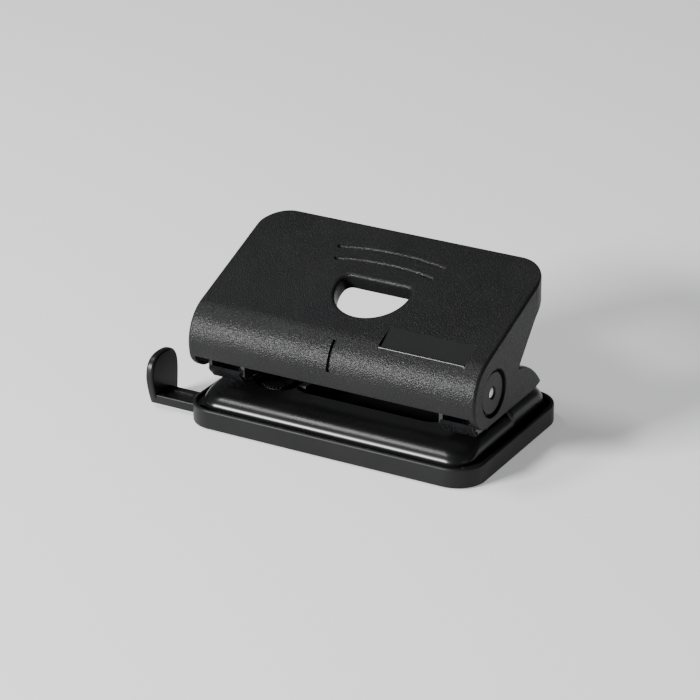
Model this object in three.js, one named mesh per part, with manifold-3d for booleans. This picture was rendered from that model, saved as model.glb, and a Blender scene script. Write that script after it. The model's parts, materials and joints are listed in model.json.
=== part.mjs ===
// A two-hole desk punch: a pressed metal base on a plastic chip tray, two steel brackets that carry
// the punch pins, a moulded handle that turns on one axle, and a paper guide that slides out of the tray.
// Millimetres. +X is along the punch, +Y is away from the paper side, +Z is up.
// The origin is on the table under the middle of the tray.
import * as THREE from 'three';
import { mergeVertices } from 'three/addons/utils/BufferGeometryUtils.js';
import Module from 'manifold-3d';

const wasm = await Module();
wasm.setup();

// ---- Driving dimensions ----
const holeSpacing = 80;        // between the centres of the two punched holes
const holeMargin = 11;         // from the paper's edge to the centres of the holes
const holeDiameter = 5.5;
const trayDepth = 62.6;        // front to back
const trayCorner = 9.6;
const trayHeight = 6.3;
const trayWall = 1.4;
const trayFloor = 1.2;
const stand = 0.4;             // how far the feet lift the tray off the table
const grooveWidth = 1.9;       // the dark gap between the tray's rim and the metal base
const baseSheet = 1.2;
const baseCorner = 7;
const deckHeight = 10.7;       // where the paper lies, above the tray's underside
const apronDepth = 7.8;        // the sloping strip in front of the deck
const apronDrop = 3;
const paperStopY = 2.2;        // the step in the base that stops the paper
const paperSlot = 1.85;        // the height of the slot under the brackets
const bracketSheet = 1.2;
const bracketInside = 10.4;    // between a bracket's two side plates
const bracketRear = 19;        // the back end of both brackets
const lipReach = 3.4;          // the turned-up lip in front of each bracket
const lipRise = 3.4;
const pivotBehindPin = -6.5;   // the axle lies in front of the pins
const pivotHeight = 15.1;      // the axle's height above the deck
const axleDiameter = 3.4;
const cheekWall = 2;
const cheekGap = 0.8;          // between a bracket and the handle's cheek
const trayOverhang = 0.8;      // the tray's end beyond the handle's cheek
const handleSlope = 21.1 * Math.PI / 180;
const handleLength = 45.4;     // the flat top, from the front roll to the rear edge
const handleWall = 2.2;
const handleCorner = 10;       // the two rear corners, seen from above
const rollRadius = 12.7;
const skirtDepth = 9.8;        // the rear skirt's height
const lobeDrop = 9.8;          // from the axle down to the cheek's lower edge
const pressAngle = 21 * Math.PI / 180;
const contactArm = 9.4;        // from the axle to where the lever presses on the pins
const springWire = 0.7;
const springTurns = 6;
const barWidth = 8.6;
const barHeight = 3;
const barCentreY = -20.8;
const tabThickness = 2.6;
const tabHeight = 16;
const tabWidth = 15.3;
const tabStandOff = 15.6;      // from the tray's end to the tab's outer face, pushed in
const lockTravel = 2.2;
const seat = 0.05;             // between faces that sit on each other
const fit = 0.2;               // round a shaft, and between sliding pieces

// ---- Worked-out places ----
const pinX = holeSpacing / 2;
const pinY = paperStopY - holeMargin;
const pivotY = pinY + pivotBehindPin;
const pivotZ = deckHeight + pivotHeight;
const bracketInX = pinX - bracketInside / 2 - bracketSheet;
const bracketOutX = pinX + bracketInside / 2 + bracketSheet;
const cheekInX = bracketOutX + cheekGap;
const handleHalf = cheekInX + cheekWall;
const trayHalfX = handleHalf + trayOverhang;
const tabReach = trayHalfX + tabStandOff;
const trayHalfY = trayDepth / 2;
const baseHalfX = trayHalfX - trayWall - grooveWidth;
const baseHalfY = trayHalfY - trayWall - grooveWidth + 0.3;
const stopHeight = paperSlot - seat;
const rearDeck = deckHeight + stopHeight;
const webBottom = rearDeck + seat;
const webTop = webBottom + bracketSheet;
const axleRadius = axleDiameter / 2;
const pinRadius = holeDiameter / 2;
const sin = Math.sin(handleSlope);
const cos = Math.cos(handleSlope);

// ---- Materials ----
const satinBlack = new THREE.MeshStandardMaterial({ color: 0x1b1c1e, roughness: 0.5, metalness: 0 });
const matteBlack = new THREE.MeshStandardMaterial({ color: 0x232426, roughness: 0.7, metalness: 0 });
const glossBlack = new THREE.MeshStandardMaterial({ color: 0x0c0d0e, roughness: 0.18, metalness: 0.4 });
const darkSteel = new THREE.MeshStandardMaterial({ color: 0x2b2d30, roughness: 0.35, metalness: 0.9 });
const brightSteel = new THREE.MeshStandardMaterial({ color: 0xc8cacc, roughness: 0.25, metalness: 1 });
const rubberBlack = new THREE.MeshStandardMaterial({ color: 0x161616, roughness: 0.9, metalness: 0 });

const punch = new THREE.Group();
punch.position.z = stand;

// ---- Helpers ----
// A closed geometry becomes a solid that can be joined and cut.
function solid(geometry) {
  const bare = geometry.index ? geometry.toNonIndexed() : geometry.clone();
  bare.deleteAttribute('normal');
  bare.deleteAttribute('uv');
  const merged = mergeVertices(bare, 1e-4);
  return new wasm.Manifold(new wasm.Mesh({
    numProp: 3,
    vertProperties: new Float32Array(merged.attributes.position.array),
    triVerts: new Uint32Array(merged.index.array),
  }));
}

function addPiece(name, body, material) {
  const mesh = body.getMesh();
  const geometry = new THREE.BufferGeometry();
  geometry.setAttribute('position', new THREE.BufferAttribute(new Float32Array(mesh.vertProperties), 3));
  geometry.setIndex(new THREE.BufferAttribute(new Uint32Array(mesh.triVerts), 1));
  geometry.computeVertexNormals();
  const piece = new THREE.Mesh(geometry, material);
  piece.name = name;
  punch.add(piece);
}

function union(...bodies) {
  return bodies.reduce((whole, body) => whole.add(body));
}

// An outline drawn in (x, y) and pushed up in Z.
function extrudeZ(shape, low, high, curveSegments = 4) {
  const geometry = new THREE.ExtrudeGeometry(shape, {
    depth: high - low, bevelEnabled: false, curveSegments,
  });
  geometry.translate(0, 0, low);
  return solid(geometry);
}

// An outline drawn in (y, z) and pushed along X.
function extrudeX(shape, low, high, curveSegments = 4) {
  const geometry = new THREE.ExtrudeGeometry(shape, {
    depth: high - low, bevelEnabled: false, curveSegments,
  });
  geometry.applyMatrix4(new THREE.Matrix4().set(0, 0, 1, low, 1, 0, 0, 0, 0, 1, 0, 0, 0, 0, 0, 1));
  return solid(geometry);
}

// An outline drawn in (x, z) and pushed along Y.
function extrudeY(shape, low, high, curveSegments = 4) {
  const geometry = new THREE.ExtrudeGeometry(shape, {
    depth: high - low, bevelEnabled: false, curveSegments,
  });
  geometry.applyMatrix4(new THREE.Matrix4().set(1, 0, 0, 0, 0, 0, -1, high, 0, 1, 0, 0, 0, 0, 0, 1));
  return solid(geometry);
}

function box(x0, x1, y0, y1, z0, z1) {
  const geometry = new THREE.BoxGeometry(x1 - x0, y1 - y0, z1 - z0);
  geometry.translate((x0 + x1) / 2, (y0 + y1) / 2, (z0 + z1) / 2);
  return solid(geometry);
}

function cylinderX(radius, x0, x1, y, z, sides = 20) {
  const geometry = new THREE.CylinderGeometry(radius, radius, x1 - x0, sides);
  geometry.rotateZ(Math.PI / 2);
  geometry.translate((x0 + x1) / 2, y, z);
  return solid(geometry);
}

// A turned piece about a vertical line. The profile is a list of [radius, z] from the axis to the axis.
function turned(profile, x, y, sides = 20) {
  const geometry = new THREE.LatheGeometry(profile.map(([r, z]) => new THREE.Vector2(r, z)), sides);
  geometry.rotateX(Math.PI / 2);
  geometry.translate(x, y, 0);
  return solid(geometry);
}

function cylinderZ(radius, z0, z1, x, y, sides = 20) {
  return turned([[0, z0], [radius, z0], [radius, z1], [0, z1]], x, y, sides);
}

function polygon(points) {
  return new THREE.Shape(points.map(([a, b]) => new THREE.Vector2(a, b)));
}

function roundedBox(halfA, halfB, radius, centreA = 0, centreB = 0) {
  const shape = new THREE.Shape();
  const quarter = Math.PI / 2;
  shape.absarc(centreA + halfA - radius, centreB - halfB + radius, radius, -quarter, 0);
  shape.absarc(centreA + halfA - radius, centreB + halfB - radius, radius, 0, quarter);
  shape.absarc(centreA - halfA + radius, centreB + halfB - radius, radius, quarter, 2 * quarter);
  shape.absarc(centreA - halfA + radius, centreB - halfB + radius, radius, 2 * quarter, 3 * quarter);
  shape.closePath();
  return shape;
}

// The handle's own directions: u runs up its slope from above the axle, n stands out of its top.
function onHandle(u, n) {
  return [pivotY + u * cos - n * sin, pivotZ + u * sin + n * cos];
}

// A body drawn level about the axle, with u as Y and n as Z, and turned to the handle's slope.
function turnToHandle(body) {
  return body.rotate([handleSlope * 180 / Math.PI, 0, 0]).translate([0, pivotY, pivotZ]);
}

// Both sides get the same piece, mirrored.
function mirrored(build) {
  for (const [side, name] of [[-1, 'left'], [1, 'right']]) build(side, name);
}

// ---- Chip tray, with the guide's channel under its floor ----
const barFront = barCentreY - barWidth / 2;
const barBack = barCentreY + barWidth / 2;
const barLow = 1;
const channelFloor = barLow - fit;
const channelTop = barLow + barHeight + fit;
const barEnd = trayHalfX - 2;
const ledgeHeight = 3.3;
const ledgeWidth = 2.9;
const channelWall = 1.2;
const detentX = 10 - trayHalfX;
const detentHalf = 7.5;
const detentPocket = 1.2;
const footHeight = 0.5;

// The front feet are small, because they stand in front of the guide's channel.
const feet = [
  { name: 'rear_left', x: 9 - trayHalfX, y: trayHalfY - 8.2, radius: 4 },
  { name: 'rear_right', x: trayHalfX - 9, y: trayHalfY - 8.2, radius: 4 },
  { name: 'front_left', x: 16 - trayHalfX, y: 3.2 - trayHalfY, radius: 2 },
  { name: 'front_right', x: trayHalfX - 16, y: 3.2 - trayHalfY, radius: 2 },
];

function chipTray() {
  const innerX = trayHalfX - trayWall;
  const innerY = trayHalfY - trayWall;
  const innerCorner = trayCorner - trayWall;
  const lowerEdge = 0.3;
  const outside = union(
    extrudeZ(roundedBox(trayHalfX, trayHalfY, trayCorner), lowerEdge, trayHeight),
    extrudeZ(roundedBox(trayHalfX - lowerEdge, trayHalfY - lowerEdge, trayCorner - lowerEdge), 0, lowerEdge),
    cylinderZ(14, -stand, lowerEdge, 0, 4, 28),
  );
  const hollow = union(
    extrudeZ(roundedBox(innerX, innerY, innerCorner), ledgeHeight, trayHeight + 1),
    extrudeZ(roundedBox(innerX - ledgeWidth, innerY - ledgeWidth, innerCorner - ledgeWidth),
      trayFloor, ledgeHeight),
  );
  const coverBack = barBack + detentPocket + channelWall;
  const coverFront = barFront - channelWall - fit;
  const cover = box(-trayHalfX, trayHalfX, coverFront, coverBack, 0.5, channelTop + channelWall)
    .intersect(outside);
  const channel = union(
    box(-trayHalfX - 1, barEnd + fit, barFront - fit, barBack + fit, channelFloor, channelTop),
    box(detentX - detentHalf - fit, detentX + detentHalf + fit, barBack, barBack + detentPocket,
      channelFloor, channelTop),
  );
  let tray = outside.subtract(hollow).add(cover).subtract(channel);
  for (const foot of feet) {
    tray = tray.subtract(cylinderZ(foot.radius + fit, -1, footHeight + seat, foot.x, foot.y));
  }
  return tray;
}

addPiece('chip_tray', chipTray(), matteBlack);
for (const { name, x, y, radius } of feet) {
  const profile = [
    [0, -stand], [radius - 0.3, -stand], [radius, 0.2 - stand], [radius, footHeight], [0, footHeight],
  ];
  addPiece('foot_pad_' + name, turned(profile, x, y, 24), rubberBlack);
}

// ---- Paper guide: a flat bar with a stop tab on its outer end ----
const tabInner = -tabReach + tabThickness;
const sheetLengths = [148, 210, 297];    // sheets that are punched at their middle

function guideBar() {
  const recessX0 = tabInner + 1;
  const recessX1 = -trayHalfX - 1.2;
  const recessHalf = barWidth * 0.3;
  const recess = roundedBox((recessX1 - recessX0) / 2, recessHalf, recessHalf * 0.93,
    (recessX0 + recessX1) / 2, barCentreY - 0.9);
  const top = barLow + barHeight;
  let bar = box(tabInner - 0.5, barEnd, barFront, barBack, barLow, top)
    .subtract(extrudeZ(recess, top - 0.5, top + 1));
  // One notch for the pushed-in place and one for each sheet.
  for (const length of [-2 * tabInner, ...sheetLengths]) {
    const x = detentX + length / 2 + tabInner;
    const notch = polygon([[x - 1.8, barBack + 0.7], [x, barBack - 0.7], [x + 1.8, barBack + 0.7]]);
    bar = bar.subtract(extrudeZ(notch, 0, top + 1));
  }
  return bar.add(extrudeX(tabOutline(), -tabReach, tabInner, 8));
}

// The tab leans to the front, bulges at mid height and has a round top.
function tabOutline() {
  const y = barCentreY + 1.3;
  const half = tabWidth / 2;
  const low = barLow - 0.1;
  const shape = new THREE.Shape();
  shape.moveTo(y - half + 2.4, low);
  shape.quadraticCurveTo(y - half + 0.4, low + tabHeight * 0.3, y - half, low + tabHeight * 0.56);
  shape.bezierCurveTo(y - half + 0.2, low + tabHeight * 0.92, y - half + 3, low + tabHeight,
    y - 0.4, low + tabHeight);
  shape.bezierCurveTo(y + half * 0.7, low + tabHeight, y + half, low + tabHeight * 0.86,
    y + half, low + tabHeight * 0.5);
  shape.quadraticCurveTo(y + half - 0.2, low + tabHeight * 0.25, y + half - 0.6, low);
  shape.closePath();
  return shape;
}

addPiece('guide_bar', guideBar(), satinBlack);

// A leaf spring in a pocket beside the channel. Its bump feels for the bar's notches.
function guideDetent() {
  const back = barBack + detentPocket - seat;
  const sheet = 0.35;
  const tip = barBack + 0.15;
  const leaf = polygon([
    [detentX - detentHalf, back - sheet], [detentX - 1.2, tip + 0.45], [detentX, tip],
    [detentX + 1.2, tip + 0.45], [detentX + detentHalf, back - sheet], [detentX + detentHalf, back],
    [detentX + 1.2, tip + 0.45 + sheet], [detentX, tip + sheet], [detentX - 1.2, tip + 0.45 + sheet],
    [detentX - detentHalf, back],
  ]);
  return extrudeZ(leaf, barLow, barLow + barHeight - fit);
}

addPiece('guide_detent', guideDetent(), brightSteel);

// ---- Metal base: a domed pressing with a raised rear deck, whose step stops the paper ----
const skirtLow = ledgeHeight + seat;
const deckUnder = deckHeight - baseSheet;

// Upright ends that lean in and round over into the deck, seen from the front.
function endForm(halfX, low, top, inset) {
  const shape = new THREE.Shape();
  shape.moveTo(-halfX, low);
  shape.lineTo(-halfX, top - 4.5);
  shape.quadraticCurveTo(-halfX + 0.1, top, -halfX + 3.2 - inset / 2, top);
  shape.lineTo(halfX - 3.2 + inset / 2, top);
  shape.quadraticCurveTo(halfX - 0.1, top, halfX, top - 4.5);
  shape.lineTo(halfX, low);
  return extrudeY(shape, -baseHalfY - 1, baseHalfY + 1);
}

// The pressing's form, smaller by `inset` for the hollow inside.
function baseForm(inset) {
  const halfX = baseHalfX - inset;
  const halfY = baseHalfY - inset;
  const low = inset > 0 ? skirtLow - 5 : skirtLow;
  const deck = deckHeight - inset;
  const rearTop = rearDeck - inset;
  const apronFoot = deck - apronDrop;
  const stop = paperStopY + inset;
  const front = new THREE.Shape();
  front.moveTo(stop + 1, low);
  front.lineTo(-halfY, low);
  front.lineTo(-halfY, apronFoot - 1.6);
  front.quadraticCurveTo(-halfY, apronFoot, -halfY + 1.5, apronFoot + 0.5);
  front.lineTo(-halfY + apronDepth - 1, deck - 0.4);
  front.quadraticCurveTo(-halfY + apronDepth, deck, -halfY + apronDepth + 2, deck);
  front.lineTo(stop + 1, deck);
  const rear = new THREE.Shape();
  rear.moveTo(stop, low);
  rear.lineTo(stop, rearTop);
  rear.lineTo(halfY - 8, rearTop);
  rear.bezierCurveTo(halfY - 3.5, rearTop, halfY, rearTop - 2.5, halfY, rearTop - 6.5);
  rear.lineTo(halfY, low);
  const plan = extrudeZ(roundedBox(halfX, halfY, baseCorner - inset), low, rearDeck + 1);
  const frontHalf = extrudeX(front, -halfX, halfX).intersect(endForm(halfX, low, deck, inset));
  const rearHalf = extrudeX(rear, -halfX, halfX).intersect(endForm(halfX, low, rearTop, inset));
  return frontHalf.add(rearHalf).intersect(plan);
}

const lockX = -28.2;
const lockY = -12.3;
const lockRadius = 2.6;
const catchY = 6.5;
const catchHeight = rearDeck + 6.8;
const rivetY = [paperStopY + 4.6, paperStopY + 12.6];
const rivetRadius = 1.5;
const bushRadius = pinRadius + 1.25;

function metalBase() {
  const openingLeft = -22.2;
  const openingRight = pinX - 8.5;
  const openingFront = paperStopY - 15.7;
  const openingRear = paperStopY - 1.2;
  const openingHalfY = (openingRear - openingFront) / 2;
  const opening = roundedBox((openingRight - openingLeft) / 2, openingHalfY, openingHalfY - 0.25,
    (openingRight + openingLeft) / 2, (openingFront + openingRear) / 2);
  const lockNotch = roundedBox(6.9, 6.2, 6.19, lockX + 0.5, lockY + 2.2);
  const top = rearDeck + 1;
  let base = baseForm(0).subtract(baseForm(baseSheet));
  base = base.subtract(extrudeZ(opening, deckHeight - 3, top));
  base = base.subtract(extrudeZ(lockNotch, deckHeight - 3, top));
  for (const side of [-1, 1]) {
    const [x0, x1] = [side * (baseHalfX + 1), side * (baseHalfX - baseCorner)].sort((a, b) => a - b);
    const room = 0.3;
    base = base.subtract(box(x0, x1, barFront - channelWall - fit - room,
      barBack + detentPocket + channelWall + room, 0, channelTop + channelWall + room));
    base = base.subtract(cylinderZ(bushRadius + seat, 0, deckHeight + 1, side * pinX, pinY));
    for (const y of rivetY) base = base.subtract(cylinderZ(rivetRadius + fit, 0, top, side * pinX, y, 16));
  }
  return base.subtract(box(lockX - 1.4, lockX + lockTravel + 1.6, catchY - 2, catchY + 2, rearDeck - 3, top));
}

addPiece('metal_base', metalBase(), glossBlack);

// The hardened bush that each pin punches into, pressed into the deck from above.
mirrored((side, name) => {
  const bore = pinRadius + fit;
  const low = deckUnder - 0.9;
  const profile = [
    [bore, low], [bushRadius, low], [bushRadius, deckHeight - 0.1], [bore, deckHeight - 0.1], [bore, low],
  ];
  addPiece('die_bush_' + name, turned(profile, side * pinX, pinY, 24), brightSteel);
});

// ---- Punch brackets: a folded channel with a web over the paper and a lip that leads the paper in ----
const leverStack = 4;          // the lever strip and its screw heads, under the handle's top
const bracketNose = rollRadius - handleWall - leverStack;
const lipSlope = 0.82;
const lipFootY = pivotY - bracketNose + 2.3;
const lipTipY = lipFootY - lipReach * lipSlope;

function sidePlate(x0, x1) {
  const outline = new THREE.Shape();
  outline.moveTo(lipFootY + 0.6, webBottom);
  outline.lineTo(bracketRear, webBottom);
  outline.lineTo(bracketRear - 0.6, webTop + 2.4);
  outline.lineTo(pivotY + 10, pivotZ + 1.2);
  outline.quadraticCurveTo(pivotY + bracketNose, pivotZ + bracketNose, pivotY, pivotZ + bracketNose);
  outline.absarc(pivotY, pivotZ, bracketNose, Math.PI / 2, Math.PI, false);
  outline.lineTo(pivotY - bracketNose, webBottom + lipRise + 0.6);
  return extrudeX(outline, x0, x1, 6);
}

function punchBracket(side) {
  const [low, high] = [side * bracketInX, side * bracketOutX].sort((a, b) => a - b);
  const tipZ = webBottom + lipRise;
  const lip = polygon([
    [lipTipY, tipZ], [lipFootY, webBottom], [lipFootY + 2, webBottom], [lipFootY + 2, webTop],
    [lipFootY + 0.55, webTop], [lipTipY + 0.95, tipZ + 0.75],
  ]);
  let bracket = union(
    box(low, high, lipFootY + 1, bracketRear, webBottom, webTop),
    extrudeX(lip, low + 0.9, high - 0.9),
    sidePlate(low, low + bracketSheet),
    sidePlate(high - bracketSheet, high),
  );
  bracket = bracket.subtract(cylinderX(axleRadius + fit, low - 1, high + 1, pivotY, pivotZ));
  bracket = bracket.subtract(cylinderZ(pinRadius + fit, 0, webTop + 1, side * pinX, pinY));
  for (const y of rivetY) {
    bracket = bracket.subtract(cylinderZ(rivetRadius + fit, 0, webTop + 1, side * pinX, y, 16));
  }
  return bracket;
}

mirrored((side, name) => addPiece('punch_bracket_' + name, punchBracket(side), darkSteel));

// Each rivet has a domed head on the web and a flat one under the deck.
mirrored((side, name) => {
  rivetY.forEach((y, i) => {
    const under = rearDeck - baseSheet - seat;
    const head = rivetRadius + 1.1;
    const profile = [
      [0, under - 0.8], [head - 0.4, under - 0.8], [head, under], [rivetRadius, under],
      [rivetRadius, webTop + seat], [head, webTop + seat], [head * 0.8, webTop + 0.8], [0, webTop + 1.2],
    ];
    const place = ['front', 'rear'][i];
    addPiece(`bracket_rivet_${name}_${place}`, turned(profile, side * pinX, y, 20), brightSteel);
  });
});

// ---- Axle and its clips ----
const axleEnd = handleHalf - 0.8;
const clipSheet = 0.7;
const clipX = bracketInX - fit - clipSheet / 2;
const clipBore = axleRadius - 0.35;

function axle() {
  let rod = cylinderX(axleRadius, -axleEnd, axleEnd, pivotY, pivotZ);
  for (const side of [-1, 1]) {
    const x0 = side * clipX - clipSheet / 2 - 0.1;
    const x1 = side * clipX + clipSheet / 2 + 0.1;
    const ring = cylinderX(axleRadius + 1, x0, x1, pivotY, pivotZ)
      .subtract(cylinderX(clipBore - seat, x0 - 1, x1 + 1, pivotY, pivotZ));
    rod = rod.subtract(ring);
  }
  return rod;
}

function axleClip(side) {
  const x0 = side * clipX - clipSheet / 2;
  const x1 = x0 + clipSheet;
  return cylinderX(2 * axleRadius, x0, x1, pivotY, pivotZ)
    .subtract(cylinderX(clipBore, x0 - 1, x1 + 1, pivotY, pivotZ))
    .subtract(box(x0 - 1, x1 + 1, pivotY - clipBore, pivotY + clipBore, pivotZ - 3 * axleRadius, pivotZ));
}

addPiece('axle', axle(), brightSteel);
mirrored((side, name) => addPiece('axle_clip_' + name, axleClip(side), brightSteel));

// ---- Punch pins and their return springs ----
const noseRadius = 1.2;
const pinTip = webBottom + 0.5;
const headTop = pivotZ + contactArm * Math.sin(pressAngle / 2) - noseRadius - 0.15;
const headBottom = headTop - 1.6;
const headRadius = pinRadius + 1.05;

mirrored((side, name) => {
  const profile = [
    [0, pinTip + 0.5], [pinRadius - 0.3, pinTip], [pinRadius, pinTip + 0.1], [pinRadius, headBottom],
    [headRadius, headBottom], [headRadius, headTop - 0.2], [headRadius - 0.2, headTop], [0, headTop],
  ];
  addPiece('punch_pin_' + name, turned(profile, side * pinX, pinY), brightSteel);
});

class Coil extends THREE.Curve {
  constructor(x, y, low, high, radius, turns) {
    super();
    Object.assign(this, { x, y, low, high, radius, turns });
  }

  getPoint(t) {
    const angle = t * this.turns * 2 * Math.PI;
    const height = this.low + (this.high - this.low) * t;
    const across = this.radius * Math.cos(angle);
    return new THREE.Vector3(this.x + across, this.y + this.radius * Math.sin(angle), height);
  }
}

mirrored((side, name) => {
  const wire = springWire / 2;
  const middle = pinRadius + 0.25 + wire;
  const path = new Coil(side * pinX, pinY, webTop + wire + 0.1, headBottom - wire - 0.1, middle, springTurns);
  const section = new THREE.Shape();
  section.absarc(0, 0, wire, 0, 2 * Math.PI);
  const wound = new THREE.ExtrudeGeometry(section, {
    steps: springTurns * 10, extrudePath: path, curveSegments: 3, bevelEnabled: false,
  });
  addPiece('return_spring_' + name, solid(wound), brightSteel);
});

// ---- Handle lock: a ribbed slider in the deck with a catch that stands up behind the paper stop ----
const slideTop = deckUnder - fit;
const slideLow = slideTop - 1.2;

function lockSlider() {
  const padTop = deckHeight - fit;
  const padHalf = lockRadius + 1.4;
  const ribs = 7;
  const ribPitch = 2 * padHalf / (ribs + 0.6);
  const pad = roundedBox(padHalf, lockRadius, lockRadius - 0.01, lockX, lockY);
  let slider = extrudeZ(pad, slideLow, padTop - 0.5);
  for (let i = 0; i < ribs; i += 1) {
    const offset = (i - (ribs - 1) / 2) * ribPitch;
    const reach = Math.sqrt(1 - (offset / padHalf) ** 2) * (lockRadius - 0.25);
    slider = slider.add(box(lockX + offset - 0.28, lockX + offset + 0.28, lockY - reach, lockY + reach,
      padTop - 0.8, padTop));
  }
  return union(
    slider,
    box(lockX - 1.2, lockX + 3.2, lockY, catchY + 2.6, slideLow, slideTop),
    box(lockX - 0.6, lockX + 0.8, catchY - 1.3, catchY + 1.3, slideLow, catchHeight + 1.4),
    box(lockX, lockX + 2.4, catchY - 0.9, catchY + 0.9, catchHeight - 0.6, catchHeight + 0.6),
  );
}

addPiece('lock_slider', lockSlider(), satinBlack);

// A strap under the deck carries the slider.
function lockRetainer() {
  const front = paperStopY - 7;
  const back = paperStopY - 3;
  const strapTop = slideLow - fit;
  return union(
    box(lockX - 5.4, lockX + 7, front, back, strapTop - 0.8, strapTop),
    box(lockX - 5.4, lockX - 3.6, front, back, strapTop - 0.8, deckUnder - seat),
  );
}

addPiece('lock_retainer', lockRetainer(), brightSteel);

// ---- Handle: one moulding whose cheeks run down outside the brackets ----
const [topRearY, topRearZ] = onHandle(handleLength, rollRadius);
const skirtBottom = topRearZ - skirtDepth;
const lobeAngle = 1.13 * Math.PI;
const rollEndAngle = 1.108 * Math.PI;
const rollInner = rollRadius - handleWall;
const notchZ = pivotZ + 1.7;   // the notch between the slanted edge and the ear

function handleOutline() {
  const notchY = pivotY + 16.2;
  const tailY = pivotY + 31;
  const tailZ = pivotZ - 8.3;
  const lobeZ = pivotZ - lobeDrop;
  const slant = 1.16;
  const slantTopY = notchY + (skirtBottom - notchZ) / slant;
  const shape = new THREE.Shape();
  shape.moveTo(...onHandle(0, rollRadius));
  shape.lineTo(...onHandle(handleLength - 2, rollRadius));
  shape.quadraticCurveTo(topRearY, topRearZ, topRearY + 0.1, topRearZ - 2.4);
  shape.lineTo(topRearY - 0.5, skirtBottom + 1.5);
  shape.quadraticCurveTo(topRearY - 0.6, skirtBottom, topRearY - 2.4, skirtBottom);
  shape.lineTo(slantTopY + 4, skirtBottom);
  shape.quadraticCurveTo(slantTopY, skirtBottom, slantTopY - 3, skirtBottom - 3 * slant);
  shape.lineTo(notchY, notchZ);
  shape.bezierCurveTo(notchY + 5.2, notchZ - 0.6, tailY - 4.4, tailZ + 6.2, tailY, tailZ + 0.5);
  shape.quadraticCurveTo(tailY + 0.2, tailZ - 0.5, tailY - 1, tailZ - 0.6);
  shape.lineTo(tailY - 3.4, lobeZ + 0.3);
  shape.lineTo(pivotY - 3, lobeZ);
  shape.quadraticCurveTo(pivotY - 8.8, lobeZ, pivotY + rollRadius * Math.cos(lobeAngle),
    pivotZ + rollRadius * Math.sin(lobeAngle));
  shape.absarc(pivotY, pivotZ, rollRadius, lobeAngle, Math.PI / 2 + handleSlope, true);
  return shape;
}

// The space between the cheeks: under the top, behind the front roll and in front of the rear skirt.
function handleHollow() {
  const far = 3 * rollRadius;
  const shape = new THREE.Shape();
  shape.moveTo(...onHandle(0, rollInner));
  shape.lineTo(...onHandle(handleLength + 6, rollInner));
  shape.lineTo(topRearY + 8, pivotZ - far);
  shape.lineTo(pivotY - far, pivotZ - far);
  shape.lineTo(pivotY + far * Math.cos(rollEndAngle), pivotZ + far * Math.sin(rollEndAngle));
  shape.absarc(pivotY, pivotZ, rollInner, rollEndAngle, Math.PI / 2 + handleSlope, true);
  return extrudeX(shape, -cheekInX, cheekInX, 8);
}

// Seen from above: square at the front, with two round corners at the back. The ears below stay straight.
function handlePlan(halfX, rearY, corner) {
  const quarter = Math.PI / 2;
  const front = pivotY - 4 * rollRadius;
  const plan = new THREE.Shape();
  plan.moveTo(-halfX, front);
  plan.lineTo(halfX, front);
  plan.absarc(halfX - corner, rearY - corner, corner, 0, quarter);
  plan.absarc(corner - halfX, rearY - corner, corner, quarter, 2 * quarter);
  return extrudeZ(plan, notchZ - 1, topRearZ + 1, 4).add(box(-halfX, halfX, front, rearY, -1, notchZ));
}

const fingerRadius = 12.1;
const fingerX = 1.3;
const fingerCentre = 18.9;
const fingerStraight = 22.6;

// The finger opening is a D: most of a circle, with a straight side at the back.
// A collar wider by `grow` hangs under the top round it.
const collarWall = 1.4;
const collarDepth = 5.3;

function fingerOpening(grow, low, high) {
  const radius = fingerRadius + grow;
  const angle = Math.asin((fingerStraight + grow - fingerCentre) / radius);
  const shape = new THREE.Shape();
  shape.absarc(fingerX, fingerCentre, radius, angle, Math.PI - angle, true);
  shape.closePath();
  return turnToHandle(extrudeZ(shape, low, high, 10));
}

// A curved groove in the top: `half` long each side, `at` up the slope in the middle, lower at its ends.
function gripGroove(half, at) {
  const sag = 1.9;
  const width = 1.7;
  const radius = (half * half + sag * sag) / (2 * sag);
  const reach = Math.asin(half / radius);
  const middle = Math.PI / 2;
  const shape = new THREE.Shape();
  shape.absarc(0, at - radius, radius + width / 2, middle - reach, middle + reach, false);
  shape.absarc(0, at - radius, radius - width / 2, middle + reach, middle - reach, true);
  shape.closePath();
  return turnToHandle(extrudeZ(shape, rollRadius - 0.7, rollRadius + 2));
}

// A flat label field on the right of the roll. Its lower end is sunk and its upper end runs out.
function labelField() {
  const angle = 125.5 * Math.PI / 180;
  const depth = 0.6;
  const floor = rollRadius - depth;
  const [endY, endZ] = onHandle(5.2, rollRadius);
  const outline = polygon([
    [pivotY + 1.4 * rollRadius * Math.cos(angle), pivotZ + 1.4 * rollRadius * Math.sin(angle)],
    [pivotY + floor * Math.cos(angle), pivotZ + floor * Math.sin(angle)],
    [endY, endZ], [endY - 3, endZ + 8],
  ]);
  return extrudeX(outline, 14.2, handleHalf - 6.1);
}

// The short upright slit in the middle of the roll.
function rollSlit() {
  const high = 50.6 * Math.PI / 180;
  return box(-0.6, 0.6, pivotY - rollRadius - 2, pivotY - rollRadius * Math.cos(high),
    pivotZ + 1.1, pivotZ + rollRadius * Math.sin(high))
    .subtract(cylinderX(rollRadius - 0.8, -5, 5, pivotY, pivotZ, 28));
}

const pocketRadius = 7.45;     // the round pocket in each cheek
const pocketDepth = 1.7;
const bushDisc = pocketRadius - 1;
const bushHub = 4.3;
const bossRadius = 8.8;
const bossX = bracketOutX + 0.3;
const screwX = [-31, -14, 14, 31];
const screwU = 1.1;
const screwTop = rollRadius - 1.1;

// A round body on the axle's line, from x0 to x1 out from the middle on one side.
function onAxle(side, radius, x0, x1) {
  const [low, high] = [side * x0, side * x1].sort((a, b) => a - b);
  return cylinderX(radius, low, high, pivotY, pivotZ, 28);
}

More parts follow.
